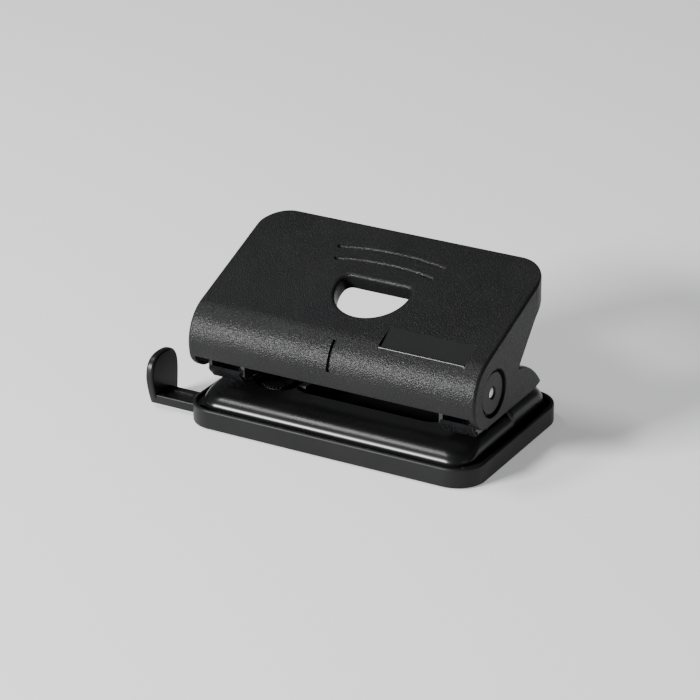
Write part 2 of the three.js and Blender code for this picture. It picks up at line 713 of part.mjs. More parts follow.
function handleCover() {
  const rearY = topRearY + 0.1;
  const innerRear = topRearY - 0.5 - handleWall;
  let cover = extrudeX(handleOutline(), -handleHalf, handleHalf, 8)
    .intersect(handlePlan(handleHalf, rearY, handleCorner))
    .subtract(handleHollow().intersect(handlePlan(cheekInX, innerRear, handleCorner - cheekWall)))
    .add(fingerOpening(collarWall, rollRadius - collarDepth, rollInner + 0.2));
  for (const side of [-1, 1]) {
    cover = cover.add(onAxle(side, bossRadius, bossX, cheekInX + 0.2));
    cover = cover.subtract(onAxle(side, pocketRadius, handleHalf - pocketDepth, handleHalf + 1));
    cover = cover.subtract(onAxle(side, bushHub + fit, bossX - 1, handleHalf + 1));
  }
  for (const x of screwX) {
    cover = cover.subtract(turnToHandle(cylinderZ(1.1, rollInner - 1, screwTop + fit, x, screwU, 14)));
  }
  return cover.subtract(fingerOpening(0, rollInner - 4, rollRadius + 2))
    .subtract(gripGroove(19, 35.3)).subtract(gripGroove(17.4, 30.1))
    .subtract(labelField()).subtract(rollSlit());
}

addPiece('handle_cover', handleCover(), satinBlack);

// A plastic bush in each cheek runs on the axle.
mirrored((side, name) => {
  const back = handleHalf - pocketDepth + seat;
  const face = handleHalf - 0.6;
  const bush = onAxle(side, bushDisc, back, face).add(onAxle(side, bushHub, bossX, back + 0.1))
    .subtract(onAxle(side, axleRadius + fit, bossX - 1, face + 1));
  addPiece('pivot_bush_' + name, bush, matteBlack);
});

// ---- Press lever: a folded steel strip under the handle's top with two fingers over each pin ----
const stripTop = rollInner - fit;
const stripLow = stripTop - 1.4;
const stripRear = 3.6;
const fingerGap = 1.7;

function pressLever() {
  const half = pinX + fingerGap + 2.2;
  const noseU = contactArm * Math.cos(pressAngle / 2 - handleSlope);
  const noseN = contactArm * Math.sin(pressAngle / 2 - handleSlope);
  const finger = polygon([
    [0.8, stripLow + 0.3], [stripRear, stripLow + 0.3],
    [noseU + 1.1, noseN + 0.4], [noseU - 1.1, noseN - 0.4],
  ]);
  let lever = box(-half, half, -1.4, stripRear, stripLow, stripTop);
  for (const side of [-1, 1]) {
    for (const offset of [-fingerGap, fingerGap]) {
      const x = side * pinX + offset;
      lever = lever.add(extrudeX(finger, x - 0.7, x + 0.7));
      lever = lever.add(cylinderX(noseRadius, x - 0.7, x + 0.7, noseU, noseN, 20));
    }
  }
  for (const x of screwX) lever = lever.subtract(cylinderZ(1.3, stripLow - 1, stripTop + 1, x, screwU, 16));
  return turnToHandle(lever);
}

addPiece('press_lever', pressLever(), darkSteel);

screwX.forEach((x, i) => {
  const headTopN = stripLow - seat;
  const profile = [
    [0, headTopN - 1.3], [1.6, headTopN - 1.3], [2.2, headTopN - 0.7], [2.2, headTopN],
    [0.9, headTopN], [0.9, screwTop], [0, screwTop],
  ];
  addPiece(`lever_screw_${i + 1}`, turnToHandle(turned(profile, x, screwU, 16)), brightSteel);
});

// ---- Latch: a steel tongue under the handle with a window for the lock's nose ----
function latchTongue() {
  const x0 = lockX + 3.2;
  const reach = Math.hypot(catchY - pivotY, catchHeight - pivotZ);
  const turn = Math.atan2(catchHeight - pivotZ, catchY - pivotY) + pressAngle;
  const windowY = pivotY + reach * Math.cos(turn);
  const windowZ = pivotZ + reach * Math.sin(turn);
  const [topY, topZ] = onHandle(handleLength - 22.4, rollInner - fit);
  const lean = Math.tan(handleSlope);
  const outline = polygon([
    [windowY - 2.6, windowZ - 2.2], [windowY + 2.6, windowZ - 2.2], [windowY + 3.2, windowZ + 4],
    [topY + 3, topZ + 3 * lean], [topY - 3, topZ - 3 * lean], [windowY - 3.2, windowZ + 4],
  ]);
  const window = roundedBox(1.6, 1.2, 0.4, windowY, windowZ);
  return extrudeX(outline, x0, x0 + 1).subtract(extrudeX(window, x0 - 1, x0 + 2));
}

addPiece('latch_tongue', latchTongue(), brightSteel);

export default punch;
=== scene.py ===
# %% [markdown]
# # A two-hole desk punch
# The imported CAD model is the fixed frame: it says where each piece is and how it moves. This lesson
# builds the surfaces that the eye sees round it: soft moulded edges, grained plastic, gloss enamel on
# pressed steel and bright plated steel. We work in millimetres above the tray's underside, as the
# maker's drawing does, and turn them into Blender's metres in one place.

# %% Load the frame
import json
import math

import bpy
from mathutils import Matrix, Vector

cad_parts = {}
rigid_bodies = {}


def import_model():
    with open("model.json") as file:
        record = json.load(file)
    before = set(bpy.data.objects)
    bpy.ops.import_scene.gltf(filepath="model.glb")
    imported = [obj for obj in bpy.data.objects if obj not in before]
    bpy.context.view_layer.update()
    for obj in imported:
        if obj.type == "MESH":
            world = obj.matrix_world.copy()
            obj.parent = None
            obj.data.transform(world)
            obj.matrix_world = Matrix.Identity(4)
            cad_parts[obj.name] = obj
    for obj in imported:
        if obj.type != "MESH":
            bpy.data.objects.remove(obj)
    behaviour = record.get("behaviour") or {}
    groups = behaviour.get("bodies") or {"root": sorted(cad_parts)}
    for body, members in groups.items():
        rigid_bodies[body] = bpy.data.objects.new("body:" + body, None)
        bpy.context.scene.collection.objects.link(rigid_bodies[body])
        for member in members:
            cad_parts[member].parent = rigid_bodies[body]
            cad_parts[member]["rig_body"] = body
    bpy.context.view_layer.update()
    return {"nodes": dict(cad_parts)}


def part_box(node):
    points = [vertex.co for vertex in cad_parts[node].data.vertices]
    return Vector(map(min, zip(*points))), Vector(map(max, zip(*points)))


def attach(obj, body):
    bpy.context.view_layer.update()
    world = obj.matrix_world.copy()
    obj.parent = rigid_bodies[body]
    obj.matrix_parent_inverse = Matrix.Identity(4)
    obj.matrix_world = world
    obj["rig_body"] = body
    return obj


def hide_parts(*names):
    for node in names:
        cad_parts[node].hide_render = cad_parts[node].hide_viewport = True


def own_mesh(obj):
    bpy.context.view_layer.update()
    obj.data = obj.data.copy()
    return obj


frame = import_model()

# %% [markdown]
# ## Places that come from the frame
# Blender's pieces must lie where the CAD pieces lie, so we read the main sizes from the CAD boxes
# instead of typing them again. `span` gives a node's lowest and highest corner in millimetres.

# %% Read the main sizes
MM = 0.001
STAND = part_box("foot_pad_rear_left")[1].z / MM - 0.5   # the feet reach 0.5 mm into the tray


def span(node):
    low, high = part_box(node)
    shift = Vector((0, 0, STAND))
    return low / MM - shift, high / MM - shift


tray_high = span("chip_tray")[1]
base_low, base_high = span("metal_base")
cover_low, cover_high = span("handle_cover")
guide_low, guide_high = span("guide_bar")
pin_low, pin_high = span("punch_pin_right")
axle_low, axle_high = span("axle")

TRAY_X = tray_high.x
TRAY_Y = tray_high.y
TRAY_TOP = tray_high.z
BASE_X = base_high.x
BASE_Y = base_high.y
REAR_DECK = base_high.z
HANDLE_X = cover_high.x
PIVOT_Y = (axle_low.y + axle_high.y) / 2
PIVOT_Z = (axle_low.z + axle_high.z) / 2
PIN_X = (pin_low.x + pin_high.x) / 2
PIN_Y = (pin_low.y + pin_high.y) / 2
AXLE_R = (axle_high.z - axle_low.z) / 2
ROLL = PIVOT_Y - cover_low.y
SLOPE = math.radians(21.1)   # the handle's top at rest
print(f"pivot at y {PIVOT_Y:.1f}, z {PIVOT_Z:.1f}; roll radius {ROLL:.2f}; stand {STAND:.2f}")

# %% [markdown]
# ## Making solids from sections
# Most moulded and pressed parts can be described by a section that changes as it travels. So one
# helper, `loft`, joins rings of points into a closed mesh, and the others are built on it: `spun` for
# turned parts, `slab` for flat parts with softened edges. Real edges are never sharp, and a thin
# rounded edge is what catches the light, so `slab` insets its end rings along a quarter circle.

# %% Mesh helpers
def new_piece(name, points, faces):
    mesh = bpy.data.meshes.new(name)
    mesh.from_pydata([(x * MM, y * MM, (z + STAND) * MM) for x, y, z in points], [], faces)
    obj = bpy.data.objects.new(name, mesh)
    bpy.context.scene.collection.objects.link(obj)
    return obj


def volume_sign(points, faces):
    total = 0.0
    for face in faces:
        a = Vector(points[face[0]])
        for i in range(1, len(face) - 1):
            total += a.dot(Vector(points[face[i]]).cross(Vector(points[face[i + 1]])))
    return total


def loft(name, rings, closed=False):
    count = len(rings[0])
    points = [tuple(p) for ring in rings for p in ring]
    pairs = list(range(len(rings) - 1))
    faces = []
    for k in pairs + ([len(rings) - 1] if closed else []):
        low = k * count
        high = (k + 1) % len(rings) * count
        for i in range(count):
            j = (i + 1) % count
            faces.append((low + i, low + j, high + j, high + i))
    if not closed:
        faces.append(tuple(range(count))[::-1])
        faces.append(tuple(range((len(rings) - 1) * count, len(rings) * count)))
    if volume_sign(points, faces) < 0:
        faces = [face[::-1] for face in faces]
    return new_piece(name, points, faces)


def spun(name, profile, centre, axis="Z", sides=64, bored=False, place=None):
    """A turned part. The profile is a list of (radius, height along the axis).

    `bored` closes the profile on itself, and `place` may move each point."""
    rings = []
    for radius, height in profile:
        ring = []
        for i in range(sides):
            turn = 2 * math.pi * i / sides
            a, b = centre[0] + radius * math.cos(turn), centre[1] + radius * math.sin(turn)
            point = (a, b, height) if axis == "Z" else (height, a, b)
            ring.append(place(point) if place else point)
        rings.append(ring)
    return loft(name, rings, closed=bored)


def arc(a, b, radius, start, stop, steps):
    """Points on a circle round (a, b), with angles in degrees."""
    turns = [math.radians(start + (stop - start) * i / steps) for i in range(steps + 1)]
    return [(a + radius * math.cos(t), b + radius * math.sin(t)) for t in turns]


def bezier(p, q, r, s, steps):
    """Points on a cubic curve after its first point."""
    curve = []
    for i in range(1, steps + 1):
        t = i / steps
        w = ((1 - t) ** 3, 3 * t * (1 - t) ** 2, 3 * t * t * (1 - t), t ** 3)
        curve.append(tuple(w[0] * p[k] + w[1] * q[k] + w[2] * r[k] + w[3] * s[k] for k in (0, 1)))
    return curve


def area(outline):
    return sum(a[0] * b[1] - b[0] * a[1] for a, b in zip(outline, outline[1:] + outline[:1])) / 2


def inset(outline, distance):
    """Moves each point inwards. The distance is one number, or one for each point."""
    count = len(outline)
    amounts = distance if isinstance(distance, list) else [distance] * count
    side = 1 if area(outline) > 0 else -1
    moved = []
    for i, (a, b) in enumerate(outline):
        before, after = outline[i - 1], outline[(i + 1) % count]
        one = Vector((a - before[0], b - before[1])).normalized()
        two = Vector((after[0] - a, after[1] - b)).normalized()
        n1, n2 = Vector((-one.y, one.x)) * side, Vector((-two.y, two.x)) * side
        both = (n1 + n2) / max(1 + n1.dot(n2), 0.5)
        moved.append((a + both.x * amounts[i], b + both.y * amounts[i]))
    return moved


def placed(outline, at, axis):
    """An outline's points in space: drawn in (y, z) for X, in (x, z) for Y and in (x, y) for Z."""
    if axis == "X":
        return [(at, a, b) for a, b in outline]
    if axis == "Y":
        return [(a, at, b) for a, b in outline]
    return [(a, b, at) for a, b in outline]


def slab(name, outline, low, high, edge=0.0, axis="X", steps=4):
    """A flat part between two levels, with its edges rounded to the radius `edge`."""
    if edge == 0:
        return loft(name, [placed(outline, low, axis), placed(outline, high, axis)])
    rings = []
    for i in range(steps + 1):
        turn = math.pi / 2 * i / steps
        drop = edge * (1 - math.sin(turn))
        rings.append((low + edge * (1 - math.cos(turn)), drop))
    rings += [(high + low - at, drop) for at, drop in rings[::-1]]
    return loft(name, [placed(inset(outline, drop), at, axis) for at, drop in rings])


def rounded(x0, x1, y0, y1, radius, steps=10, rear=None):
    """A rectangle with round corners; the two corners at y1 may have their own radius."""
    far = radius if rear is None else rear
    corners = [(x1 - radius, y0 + radius, radius, -90), (x1 - far, y1 - far, far, 0),
               (x0 + far, y1 - far, far, 90), (x0 + radius, y0 + radius, radius, 180)]
    return [point for a, b, bend, start in corners for point in arc(a, b, bend, start, start + 90, steps)]


def block(name, x0, x1, y0, y1, z0, z1, edge=0.0):
    return slab(name, [(x0, y0), (x1, y0), (x1, y1), (x0, y1)], z0, z1, edge, "Z", 3)


# %% [markdown]
# ## Cutting and joining
# A real moulding has holes that pass through curved walls. A boolean modifier finds those edges
# exactly. We apply each one at once, so that the finished mesh is plain and the cutter can go.

# %% Boolean helpers
def settle(obj):
    graph = bpy.context.evaluated_depsgraph_get()
    mesh = bpy.data.meshes.new_from_object(obj.evaluated_get(graph))
    old = obj.data
    obj.modifiers.clear()
    obj.data = mesh
    bpy.data.meshes.remove(old)
    mesh.name = obj.name


def combine(obj, others, operation):
    for other in others:
        step = obj.modifiers.new("step", "BOOLEAN")
        step.operation = operation
        step.solver = "EXACT"
        step.object = other
        settle(obj)
        used = other.data
        bpy.data.objects.remove(other)
        bpy.data.meshes.remove(used)
    return obj


def cut(obj, *cutters):
    return combine(obj, cutters, "DIFFERENCE")


def join(obj, *others):
    return combine(obj, others, "UNION")


def finish_piece(obj, node, material, angle=32):
    """Smooths a piece, gives it its finish and lets it stand for its CAD node."""
    obj.data.shade_smooth()
    obj.data.set_sharp_from_angle(angle=math.radians(angle))
    weigh = obj.modifiers.new("weigh", "WEIGHTED_NORMAL")
    weigh.keep_sharp = True
    settle(obj)
    obj.data.materials.clear()
    obj.data.materials.append(material)
    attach(obj, frame["nodes"][node]["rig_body"])
    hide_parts(node)
    print(f"{obj.name}: {len(obj.data.polygons)} faces")
    return obj


# %% [markdown]
# ## Effects that several finishes share
# Moulded plastic has a fine spark-eroded grain, everything on a desk gathers a little dust and
# handling haze, and steel keeps the lines of its brushing. Each is a node group, so that each finish
# can set its own amounts. The grain and the brush groups give a height for a Bump node; the haze
# group gives a mask that lifts roughness and tone. Only the plated steel takes the brush lines, but
# as a group they fit the same place in a material as the grain.

# %% Node groups
def new_group(name, inputs, outputs):
    group = bpy.data.node_groups.new(name, "ShaderNodeTree")
    for name, value in inputs.items():
        socket = group.interface.new_socket(name, in_out="INPUT", socket_type="NodeSocketFloat")
        socket.default_value = value
    for name in outputs:
        group.interface.new_socket(name, in_out="OUTPUT", socket_type="NodeSocketFloat")
    return group, group.nodes.new("NodeGroupInput"), group.nodes.new("NodeGroupOutput")


def math_node(tree, operation, first, second):
    node = tree.nodes.new("ShaderNodeMath")
    node.operation = operation
    for socket, value in zip(node.inputs, (first, second)):
        if isinstance(value, (int, float)):
            socket.default_value = value
        else:
            tree.links.new(value, socket)
    return node.outputs[0]


def make_grain_group():
    group, given, result = new_group("spark_grain", {"Scale": 2000.0, "Pitting": 0.5}, ["Height"])
    place = group.nodes.new("ShaderNodeTexCoord")
    cells = group.nodes.new("ShaderNodeTexVoronoi")
    cells.feature = "SMOOTH_F1"
    noise = group.nodes.new("ShaderNodeTexNoise")
    noise.inputs["Detail"].default_value = 3.0
    for texture in (cells, noise):
        group.links.new(place.outputs["Object"], texture.inputs["Vector"])
        group.links.new(given.outputs["Scale"], texture.inputs["Scale"])
    pits = math_node(group, "MULTIPLY", cells.outputs["Distance"], given.outputs["Pitting"])
    group.links.new(math_node(group, "ADD", pits, noise.outputs["Fac"]), result.inputs["Height"])
    return group


def make_haze_group():
    group, given, result = new_group("handling_haze", {"Scale": 60.0, "Amount": 0.5}, ["Mask"])
    place = group.nodes.new("ShaderNodeTexCoord")
    noise = group.nodes.new("ShaderNodeTexNoise")
    noise.inputs["Detail"].default_value = 6.0
    noise.inputs["Roughness"].default_value = 0.62
    group.links.new(place.outputs["Object"], noise.inputs["Vector"])
    group.links.new(given.outputs["Scale"], noise.inputs["Scale"])
    soften = group.nodes.new("ShaderNodeMapRange")
    soften.inputs["From Min"].default_value = 0.38
    soften.inputs["From Max"].default_value = 0.72
    group.links.new(noise.outputs["Fac"], soften.inputs["Value"])
    group.links.new(math_node(group, "MULTIPLY", soften.outputs["Result"], given.outputs["Amount"]),
                    result.inputs["Mask"])
    return group


def make_brush_group():
    group, given, result = new_group("brush_lines", {"Scale": 900.0, "Stretch": 12.0}, ["Height"])
    place = group.nodes.new("ShaderNodeTexCoord")
    axes = group.nodes.new("ShaderNodeSeparateXYZ")
    group.links.new(place.outputs["Object"], axes.inputs[0])
    along = group.nodes.new("ShaderNodeCombineXYZ")
    stretched = math_node(group, "DIVIDE", axes.outputs["X"], given.outputs["Stretch"])
    group.links.new(stretched, along.inputs["X"])
    group.links.new(axes.outputs["Y"], along.inputs["Y"])
    group.links.new(axes.outputs["Z"], along.inputs["Z"])
    noise = group.nodes.new("ShaderNodeTexNoise")
    noise.inputs["Detail"].default_value = 2.0
    group.links.new(along.outputs[0], noise.inputs["Vector"])
    group.links.new(given.outputs["Scale"], noise.inputs["Scale"])
    group.links.new(noise.outputs["Fac"], result.inputs["Height"])
    return group


grain_group = make_grain_group()
haze_group = make_haze_group()
brush_group = make_brush_group()

# %% [markdown]
# ## The finishes
# Each finish is one Principled shader. Its base colour moves between two close tones by the haze
# mask, and so does its roughness. A Bump node takes the grain or the brush lines. The handle and the
# tray are grained, the guide and the bushes are nearly smooth, and the label field is matt. The base
# is sprayed with gloss enamel, which has a slow orange-peel ripple instead of grain. The small steel
# parts are plated, and their brush lines lie along X.

# %% Material maker
def finish(name, tones, rough, relief, distance, haze, metallic=0.0, gloss=0.25, bump_group=None):
    """tones and rough are (clean, hazed) pairs; relief and haze hold a node group's input values.

    distance is the height of the relief in metres, and gloss is the specular level."""
    material = bpy.data.materials.new(name)
    material.use_nodes = True
    tree = material.node_tree
    shader = tree.nodes["Principled BSDF"]
    shader.inputs["Metallic"].default_value = metallic
    shader.inputs["Specular IOR Level"].default_value = gloss
    mask = tree.nodes.new("ShaderNodeGroup")
    mask.node_tree = haze_group
    height = tree.nodes.new("ShaderNodeGroup")
    height.node_tree = bump_group or grain_group
    for node, values in ((mask, haze), (height, relief)):
        for socket, value in values.items():
            node.inputs[socket].default_value = value
    blend = tree.nodes.new("ShaderNodeMix")
    blend.data_type = "RGBA"
    blend.inputs[6].default_value = (*tones[0], 1)
    blend.inputs[7].default_value = (*tones[1], 1)
    tree.links.new(mask.outputs["Mask"], blend.inputs[0])
    tree.links.new(blend.outputs[2], shader.inputs["Base Color"])
    spread = tree.nodes.new("ShaderNodeMapRange")
    spread.inputs["To Min"].default_value = rough[0]
    spread.inputs["To Max"].default_value = rough[1]
    tree.links.new(mask.outputs["Mask"], spread.inputs["Value"])
    tree.links.new(spread.outputs["Result"], shader.inputs["Roughness"])
    bump = tree.nodes.new("ShaderNodeBump")
    bump.inputs["Strength"].default_value = 1.0
    bump.inputs["Distance"].default_value = distance
    tree.links.new(height.outputs["Height"], bump.inputs["Height"])
    tree.links.new(bump.outputs["Normal"], shader.inputs["Normal"])
    return material


handle_plastic = finish("handle_plastic", ((0.010, 0.0101, 0.0105), (0.015, 0.015, 0.0155)),
                        rough=(0.29, 0.36), relief={"Scale": 2500.0, "Pitting": 0.8}, distance=0.00013,
                        haze={"Scale": 40.0, "Amount": 0.6}, gloss=0.15)
tray_plastic = finish("tray_plastic", ((0.006, 0.0061, 0.0064), (0.011, 0.011, 0.0114)),
                      rough=(0.42, 0.52), relief={"Scale": 2600.0, "Pitting": 0.5}, distance=0.00002,
                      haze={"Scale": 45.0, "Amount": 0.6}, gloss=0.2)
smooth_plastic = finish("smooth_plastic", ((0.007, 0.0071, 0.0075), (0.012, 0.012, 0.0125)),
                        rough=(0.34, 0.44), relief={"Scale": 1500.0, "Pitting": 0.3}, distance=0.000006,
                        haze={"Scale": 50.0, "Amount": 0.6}, gloss=0.2)
bush_plastic = finish("bush_plastic", ((0.009, 0.0092, 0.0096), (0.015, 0.015, 0.0155)),
                      rough=(0.40, 0.50), relief={"Scale": 2200.0, "Pitting": 0.4}, distance=0.00001,
                      haze={"Scale": 60.0, "Amount": 0.5})
label_matt = finish("label_matt", ((0.010, 0.0101, 0.0105), (0.013, 0.013, 0.0135)),
                    rough=(0.62, 0.7), relief={"Scale": 1500.0, "Pitting": 0.3}, distance=0.000006,
                    haze={"Scale": 50.0, "Amount": 0.6}, gloss=0.12)
plastics = [handle_plastic, tray_plastic, smooth_plastic, bush_plastic, label_matt]
print("plastics:", [material.name for material in plastics])

# %% Enamel, steel and rubber
base_enamel = finish("base_enamel", ((0.003, 0.0031, 0.0034), (0.006, 0.006, 0.0064)),
                     rough=(0.27, 0.33), relief={"Scale": 260.0, "Pitting": 0.1}, distance=0.000003,
                     haze={"Scale": 35.0, "Amount": 0.6}, gloss=0.4)
bracket_steel = finish("bracket_steel", ((0.008, 0.0082, 0.009), (0.016, 0.016, 0.017)),
                       rough=(0.24, 0.38), relief={"Scale": 1200.0, "Pitting": 0.3}, distance=0.000008,
                       haze={"Scale": 90.0, "Amount": 0.7}, gloss=0.6)
bright_steel = finish("bright_steel", ((0.62, 0.62, 0.63), (0.45, 0.45, 0.46)),
                      rough=(0.32, 0.48), relief={"Scale": 2500.0, "Stretch": 10.0}, distance=0.000006,
                      haze={"Scale": 150.0, "Amount": 0.7}, metallic=1.0, bump_group=brush_group)
foot_rubber = finish("foot_rubber", ((0.012, 0.012, 0.012), (0.03, 0.03, 0.03)),
                     rough=(0.75, 0.9), relief={"Scale": 1500.0, "Pitting": 0.6}, distance=0.00003,
                     haze={"Scale": 120.0, "Amount": 0.8})
print("others:", [material.name for material in (base_enamel, bracket_steel, bright_steel, foot_rubber)])

# %% [markdown]
# ## The handle
# The handle is one injection moulding. Seen from the side it is a round roll, a flat top that climbs
# to the back, a skirt, and an ear that runs down outside the bracket. We draw that side view as a
# function of how far back it may reach, because near the ends the two rear corners curve forwards.
# Lofting those views along X gives the round corners and the soft end edges together, which a bevel
# on the finished block could not do cleanly.

# %% The handle's side view
TOP_REAR = cover_high.y - 0.1
SKIRT_LOW = cover_high.z - 9.7
NOTCH = (PIVOT_Y + 16.2, PIVOT_Z + 1.7)   # where the slanted edge meets the ear
TAIL = (PIVOT_Y + 31.0, PIVOT_Z - 8.3)    # the ear's rear tip
LOBE_Z = PIVOT_Z - 9.8                    # the ear's lower edge
SLANT = 1.16                              # the slanted edge's rise over its run
LOBE_TURN = 203.4                         # degrees round the axle, where the roll runs into the ear
ROLL_END = 199.4                          # degrees, where the roll's lip ends between the ears
WALL = 2.2
CHEEK = 2.0
CORNER = 10.0                             # the rear corners, seen from above
EDGE = 1.0                                # the rounding of the end edges


def on_handle(u, n):
    """u runs up the handle's slope from above the axle, n stands out of its top."""
    return (PIVOT_Y + u * math.cos(SLOPE) - n * math.sin(SLOPE),
            PIVOT_Z + u * math.sin(SLOPE) + n * math.cos(SLOPE))


def top_height(y, n=None):
    """The height of the handle's top plane over y, or of a plane n above the axle."""
    n = ROLL if n is None else n
    u = (y - PIVOT_Y + n * math.sin(SLOPE)) / math.cos(SLOPE)
    return PIVOT_Z + u * math.sin(SLOPE) + n * math.cos(SLOPE)


def lower_edge(y):
    """The slanted edge, easing into the level lower edge of the skirt."""
    slanted = NOTCH[1] + (y - NOTCH[0]) * SLANT
    ease = 2.2
    return -ease * math.log(math.exp(-slanted / ease) + math.exp(-SKIRT_LOW / ease))


def handle_side(rear):
    """The side view's points and, for each, how much of the end edge's rounding it gets."""
    soft = 0.8
    foot_turn = 0.7
    crown = math.degrees(SLOPE) + 90
    points = arc(PIVOT_Y, PIVOT_Z, ROLL, LOBE_TURN, crown, 64)
    weights = [min(1.0, 0.55 + i / 24) for i in range(len(points))]
    corner_y = rear - soft
    bend = [(corner_y + soft * math.sin(t), t) for t in
            [-SLOPE + (math.pi / 2 + SLOPE) * i / 8 for i in range(9)]]
    centre_z = top_height(corner_y, ROLL - soft)
    start = bend[0][0]
    first = on_handle(0, ROLL)[0]
    for i in range(1, 24):
        y = first + (start - first) * i / 24
        points.append((y, top_height(y)))
        weights.append(1.0)
    for y, t in bend:
        points.append((y, centre_z + soft * math.cos(t)))
        weights.append(1.0)
    foot = lower_edge(rear - foot_turn)
    points += [(rear, centre_z + (foot + foot_turn - centre_z) * k) for k in (0.25, 0.5, 0.75, 1.0)]
    points += [(rear - 0.2, foot + 0.2)]
    weights += [1.0, 1.0, 0.9, 0.7, 0.6]
    for i in range(31):
        y = rear - foot_turn + (NOTCH[0] - rear + foot_turn) * i / 30
        points.append((y, lower_edge(y)))
        weights.append(0.5)
    ear = bezier(points[-1], (NOTCH[0] + 5.2, NOTCH[1] - 0.6), (TAIL[0] - 4.4, TAIL[1] + 6.2),
                 (TAIL[0], TAIL[1] + 0.5), 16)
    ear += bezier(ear[-1], (TAIL[0] + 0.15, TAIL[1] - 0.1), (TAIL[0] - 0.3, TAIL[1] - 0.5),
                  (TAIL[0] - 1, TAIL[1] - 0.6), 4)
    ear += [(TAIL[0] - 3.4, LOBE_Z + 0.3), (PIVOT_Y + 12, LOBE_Z + 0.15), (PIVOT_Y - 3, LOBE_Z)]
    lobe_end = arc(PIVOT_Y, PIVOT_Z, ROLL, LOBE_TURN, LOBE_TURN, 1)[0]
    knee = (PIVOT_Y - 8.8, LOBE_Z)
    pull = 2 / 3
    leaving = (ear[-1][0] + (knee[0] - ear[-1][0]) * pull, LOBE_Z)
    arriving = (lobe_end[0] + (knee[0] - lobe_end[0]) * pull, lobe_end[1] + (knee[1] - lobe_end[1]) * pull)
    ear += bezier(ear[-1], leaving, arriving, lobe_end, 12)[:-1]
    points += ear
    weights += [0.5] * len(ear)
    return points, weights


def handle_shell():
    """The outside, lofted from end to end."""
    stations = []
    flat = HANDLE_X - CORNER
    for i in range(0, 11):
        turn = math.pi / 2 * i / 14
        stations.append(flat + CORNER * math.sin(turn))
    straight = HANDLE_X - EDGE
    stations = [x for x in stations if x < straight - 0.4]
    stations += [straight + EDGE * math.sin(math.pi / 2 * i / 7) for i in range(8)]
    rings = []
    for x in [-x for x in stations[::-1]] + stations:
        side = min(max(abs(x) - flat, 0), CORNER)
        rear = TOP_REAR - (CORNER - math.sqrt(max(CORNER ** 2 - side ** 2, 0)))
        into = max(abs(x) - straight, 0)
        drop = EDGE - math.sqrt(max(EDGE ** 2 - into ** 2, 0))
        outline, weights = handle_side(rear)
        rings.append(placed(inset(outline, [drop * w for w in weights]), x, "X"))
    return loft("handle", rings)


# %% [markdown]
# ## Openings in the handle
# The finger opening is a D whose rim rolls inwards, so its cutter is wide at the top and narrows
# along a quarter circle. A collar of the same outline hangs below it, so that the thin top looks and
# feels solid there. It is a lofted plug, joined on before the cut, so the one cutter makes both inner
# faces.

# %% The finger opening
FINGER_R = 12.1
FINGER_X = 1.3
FINGER_U = 18.9       # the round part's centre, up the slope
FINGER_END = 22.6     # the straight side
COLLAR_DEPTH = 5.3


def finger_outline(grow):
    """The D in (x, u). Its two corners are rounded."""
    fillet = 2.6
    depth = FINGER_END - fillet - FINGER_U
    across = math.sqrt((FINGER_R - fillet) ** 2 - depth ** 2)
    turn = math.degrees(math.atan2(depth, across))
    big = arc(FINGER_X, FINGER_U, FINGER_R + grow, turn, -180 - turn, 56)
    left = arc(FINGER_X - across, FINGER_END - fillet, fillet + grow, 180 - turn, 90, 8)
    right = arc(FINGER_X + across, FINGER_END - fillet, fillet + grow, 90, turn, 8)
    return big + left[1:] + right[:-1]


def tilted(outline, n):
    return [(x, *on_handle(u, n)) for x, u in outline]


def finger_cutter():
    roll = 1.1
    rings = [tilted(finger_outline(roll + 0.6), ROLL + 2)]
    for i in range(9):
        turn = math.pi / 2 * i / 8
        depth = roll * (1 - math.cos(turn))
        rings.append(tilted(finger_outline(roll * (1 - math.sin(turn))), ROLL - depth))
    rings.append(tilted(finger_outline(0), ROLL - COLLAR_DEPTH - 1))
    return loft("finger_cutter", rings)


def finger_collar():
    wall = 1.4
    low = ROLL - COLLAR_DEPTH
    levels = [(wall - 0.3, low), (wall - 0.1, low + 0.1), (wall, low + 0.35), (wall, ROLL - WALL + 0.3)]
    return loft("finger_collar", [tilted(finger_outline(grow), n) for grow, n in levels])


# %% [markdown]
# ## The grip grooves and the slit
# The two grooves behind the opening are shallow and round-bottomed: a thin tube, bent to the
# groove's arc and sunk to its middle, cuts them. The slit in the roll is a short band of an arc.

# %% Cutters for the grooves and the slit
GROOVE_R = 0.9
GROOVES = ((19.0, 35.3), (17.4, 30.1))   # half the length, and the place up the slope


def groove_cutter(half, at):
    """A groove that reaches half to each side of the middle, with its top at u = at."""
    sag = 1.9
    radius = (half ** 2 + sag ** 2) / (2 * sag)
    reach = math.degrees(math.asin(half / radius))
    steps = 60
    rings = []
    for i, (x, u) in enumerate(arc(0, at - radius, radius, 90 - reach, 90 + reach, steps)):
        end = min(i, steps - i) / 2
        wide = GROOVE_R * math.sqrt(max(1 - (1 - min(end, 1)) ** 2, 0.02))
        away = Vector((x, u - at + radius)).normalized()
        rings.append([(x + away.x * wide * a, *on_handle(u + away.y * wide * a, ROLL + 0.05 + wide * b))
                      for a, b in arc(0, 0, 1, 0, 324, 9)])
    return loft("groove_cutter", rings)


def slit_cutter():
    upper, lower = 180 - 50.6, 180 - 4.8
    outer = arc(PIVOT_Y, PIVOT_Z, ROLL + 2, upper, lower, 24)
    inner = arc(PIVOT_Y, PIVOT_Z, ROLL - 0.9, lower, upper, 24)
    return slab("slit_cutter", outer + inner, -0.6, 0.6)


# %% [markdown]
# ## The label field
# The maker's label goes on a flat field that is cut into the roll. The cut runs out at its upper end
# and leaves a small step at its lower end, where a thin raised bead catches the light. The field
# itself has no grain. So after the cut we pick its faces by their place and direction and give them
# the matt finish, and the bead's faces the gloss one.

